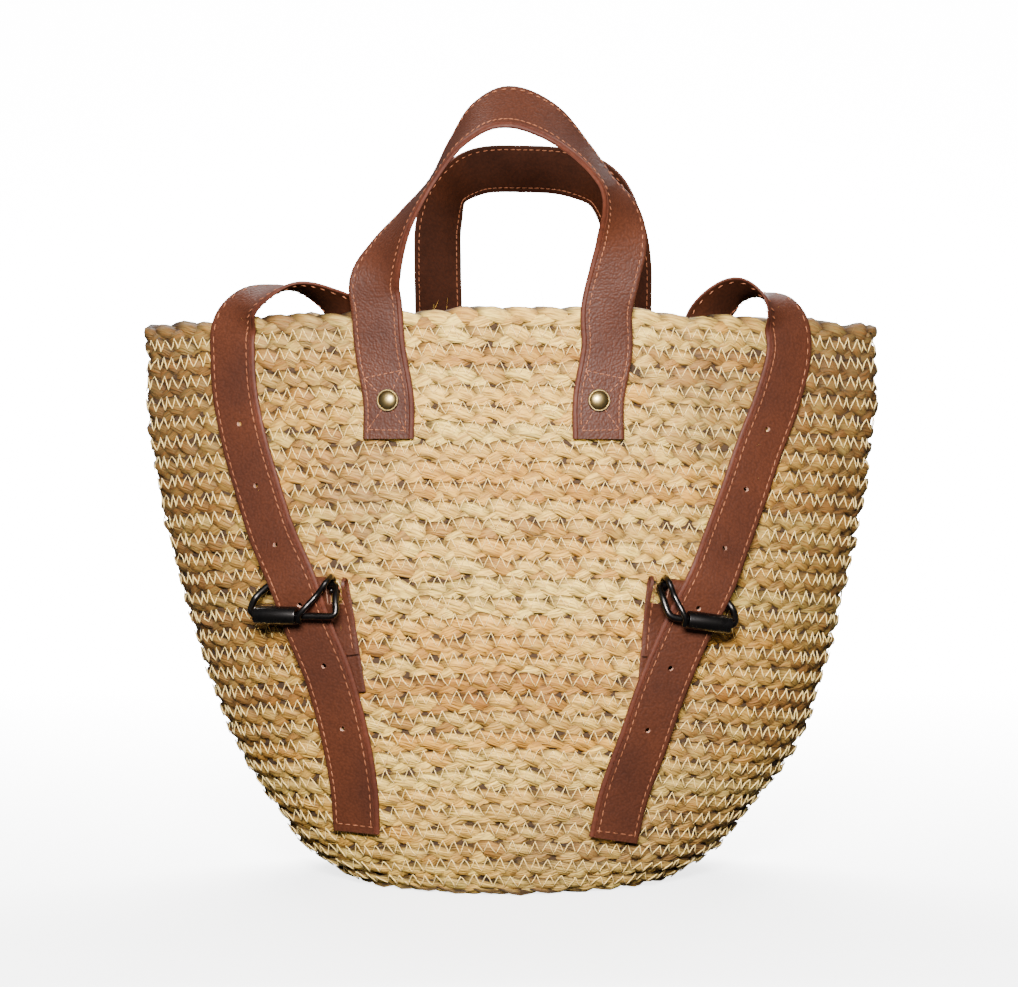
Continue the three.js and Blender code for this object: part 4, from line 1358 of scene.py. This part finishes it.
def makeRoller(name, strap):
    place, outwards, _, _ = bucklePlace(strap)
    middle = place(strap["buckle"]["reach"] - strapLook["corner"] - bag["gap"] - strapLook["rollerLong"] / 2,
                   -strapLook["barDrop"], barOff)
    bpy.ops.mesh.primitive_cylinder_add(vertices=40, radius=strapLook["roller"], depth=strapLook["rollerLong"])
    roller = settled(bpy.context.object)
    bpy.ops.mesh.primitive_cylinder_add(vertices=32, radius=strapLook["wire"] + bag["bearing"], depth=0.1)
    bore = settled(bpy.context.object)
    applied(roller, "BOOLEAN", object=bore, operation="DIFFERENCE", solver="EXACT")
    bpy.data.objects.remove(bore)
    applied(roller, "BEVEL", width=strapLook["rollerEdge"], segments=3, limit_method="ANGLE")
    roller.name = f"{name}Roller"
    return smoothBy(painted(stoodAt(roller, middle, outwards), gunmetalDark), 35)


for label, strap in (("left", leftStrap), ("right", rightStrap)):
    makeStrap(label, strap)
    makeTab(label, strap)
    for part, kind in (("BuckleFrame", "frame"), ("Prong", "prong")):
        node = f"buckle_{kind}_{label}"
        ridden(smoothCopy(f"{label}{part}", node, strapLook[f"{kind}Swell"]), "gunmetal", node)
    ridden(makeRoller(label, strap), "gunmetal", f"buckle_roller_{label}")
print("straps and buckles ready")

# Stage, light and camera
stageLook = {"size": 6, "round": 2.5, "base": (0.85, 0.85, 0.85, 1), "glow": 3.2, "sky": 0.1}
bpy.ops.mesh.primitive_cylinder_add(vertices=96, radius=stageLook["size"], depth=stageLook["size"],
                                    location=(0, 0, stageLook["size"] / 2))
floor = settled(bpy.context.object)
floor.name = "floor"
bpy.ops.object.mode_set(mode="EDIT")
bpy.ops.mesh.select_mode(type="FACE")
bpy.ops.mesh.select_all(action="DESELECT")
bpy.ops.object.mode_set(mode="OBJECT")
for face in floor.data.polygons:  # only the top
    face.select = face.center.z > 0.98 * stageLook["size"]
bpy.ops.object.mode_set(mode="EDIT")
bpy.ops.mesh.delete(type="FACE")
bpy.ops.object.mode_set(mode="OBJECT")
edited(floor, (bpy.ops.mesh.flip_normals, {}))
applied(floor, "BEVEL", width=stageLook["round"], segments=24, limit_method="ANGLE", angle_limit=1.0)
bpy.ops.object.shade_smooth()
stageMaterial = startMaterial("paleStage", Roughness=0.9, Base_Color=stageLook["base"],
                              Emission_Color=(1, 1, 1, 1), Emission_Strength=stageLook["glow"])[0]
floor.data.materials.append(stageMaterial)
floor.visible_diffuse = False  # so that its white doesn't wash out the sides
floor.visible_glossy = False

world = bpy.data.worlds.new("studio")
bpy.context.scene.world = world
world.use_nodes = True
sky = world.node_tree.nodes["Background"]
sky.inputs[0].default_value = (1, 1, 1, 1)
sky.inputs[1].default_value = stageLook["sky"]


def addLamp(name, place, target, size, power):
    lamp = bpy.data.lights.new(name, "AREA")
    lamp.shape = "RECTANGLE"
    lamp.size, lamp.size_y = size
    lamp.energy = power
    holder = bpy.data.objects.new(name, lamp)
    bpy.context.scene.collection.objects.link(holder)
    holder.location = place
    holder.rotation_euler = (Vector(target) - Vector(place)).to_track_quat("-Z", "Y").to_euler()


lamps = table(
    "name place target size power",
    ("keyLight", (-0.05, -1.05, 0.6), (0, 0, 0.17), (0.36, 0.26), 44),
    ("backdropLight", (0, 1.2, 2.6), (0, 4.5, 0.6), (3, 1), 3600),
    ("backLight", (0.2, 1.5, 0.9), (0, 0, 0.2), (0.9, 0.5), 12),
)
for lamp in lamps:
    addLamp(**lamp)
print("stage and lamps ready")

cameraLook = {"place": (-0.0014, -1.3, 0.29), "down": 3.5, "lens": 83.6, "sensor": 36}
camera = bpy.data.cameras.new("camera")
camera.lens = cameraLook["lens"]
camera.sensor_width = cameraLook["sensor"]
cameraHolder = bpy.data.objects.new("camera", camera)
bpy.context.scene.collection.objects.link(cameraHolder)
cameraHolder.location = cameraLook["place"]
cameraHolder.rotation_euler = (math.radians(90 - cameraLook["down"]), 0, 0)
bpy.context.scene.camera = cameraHolder
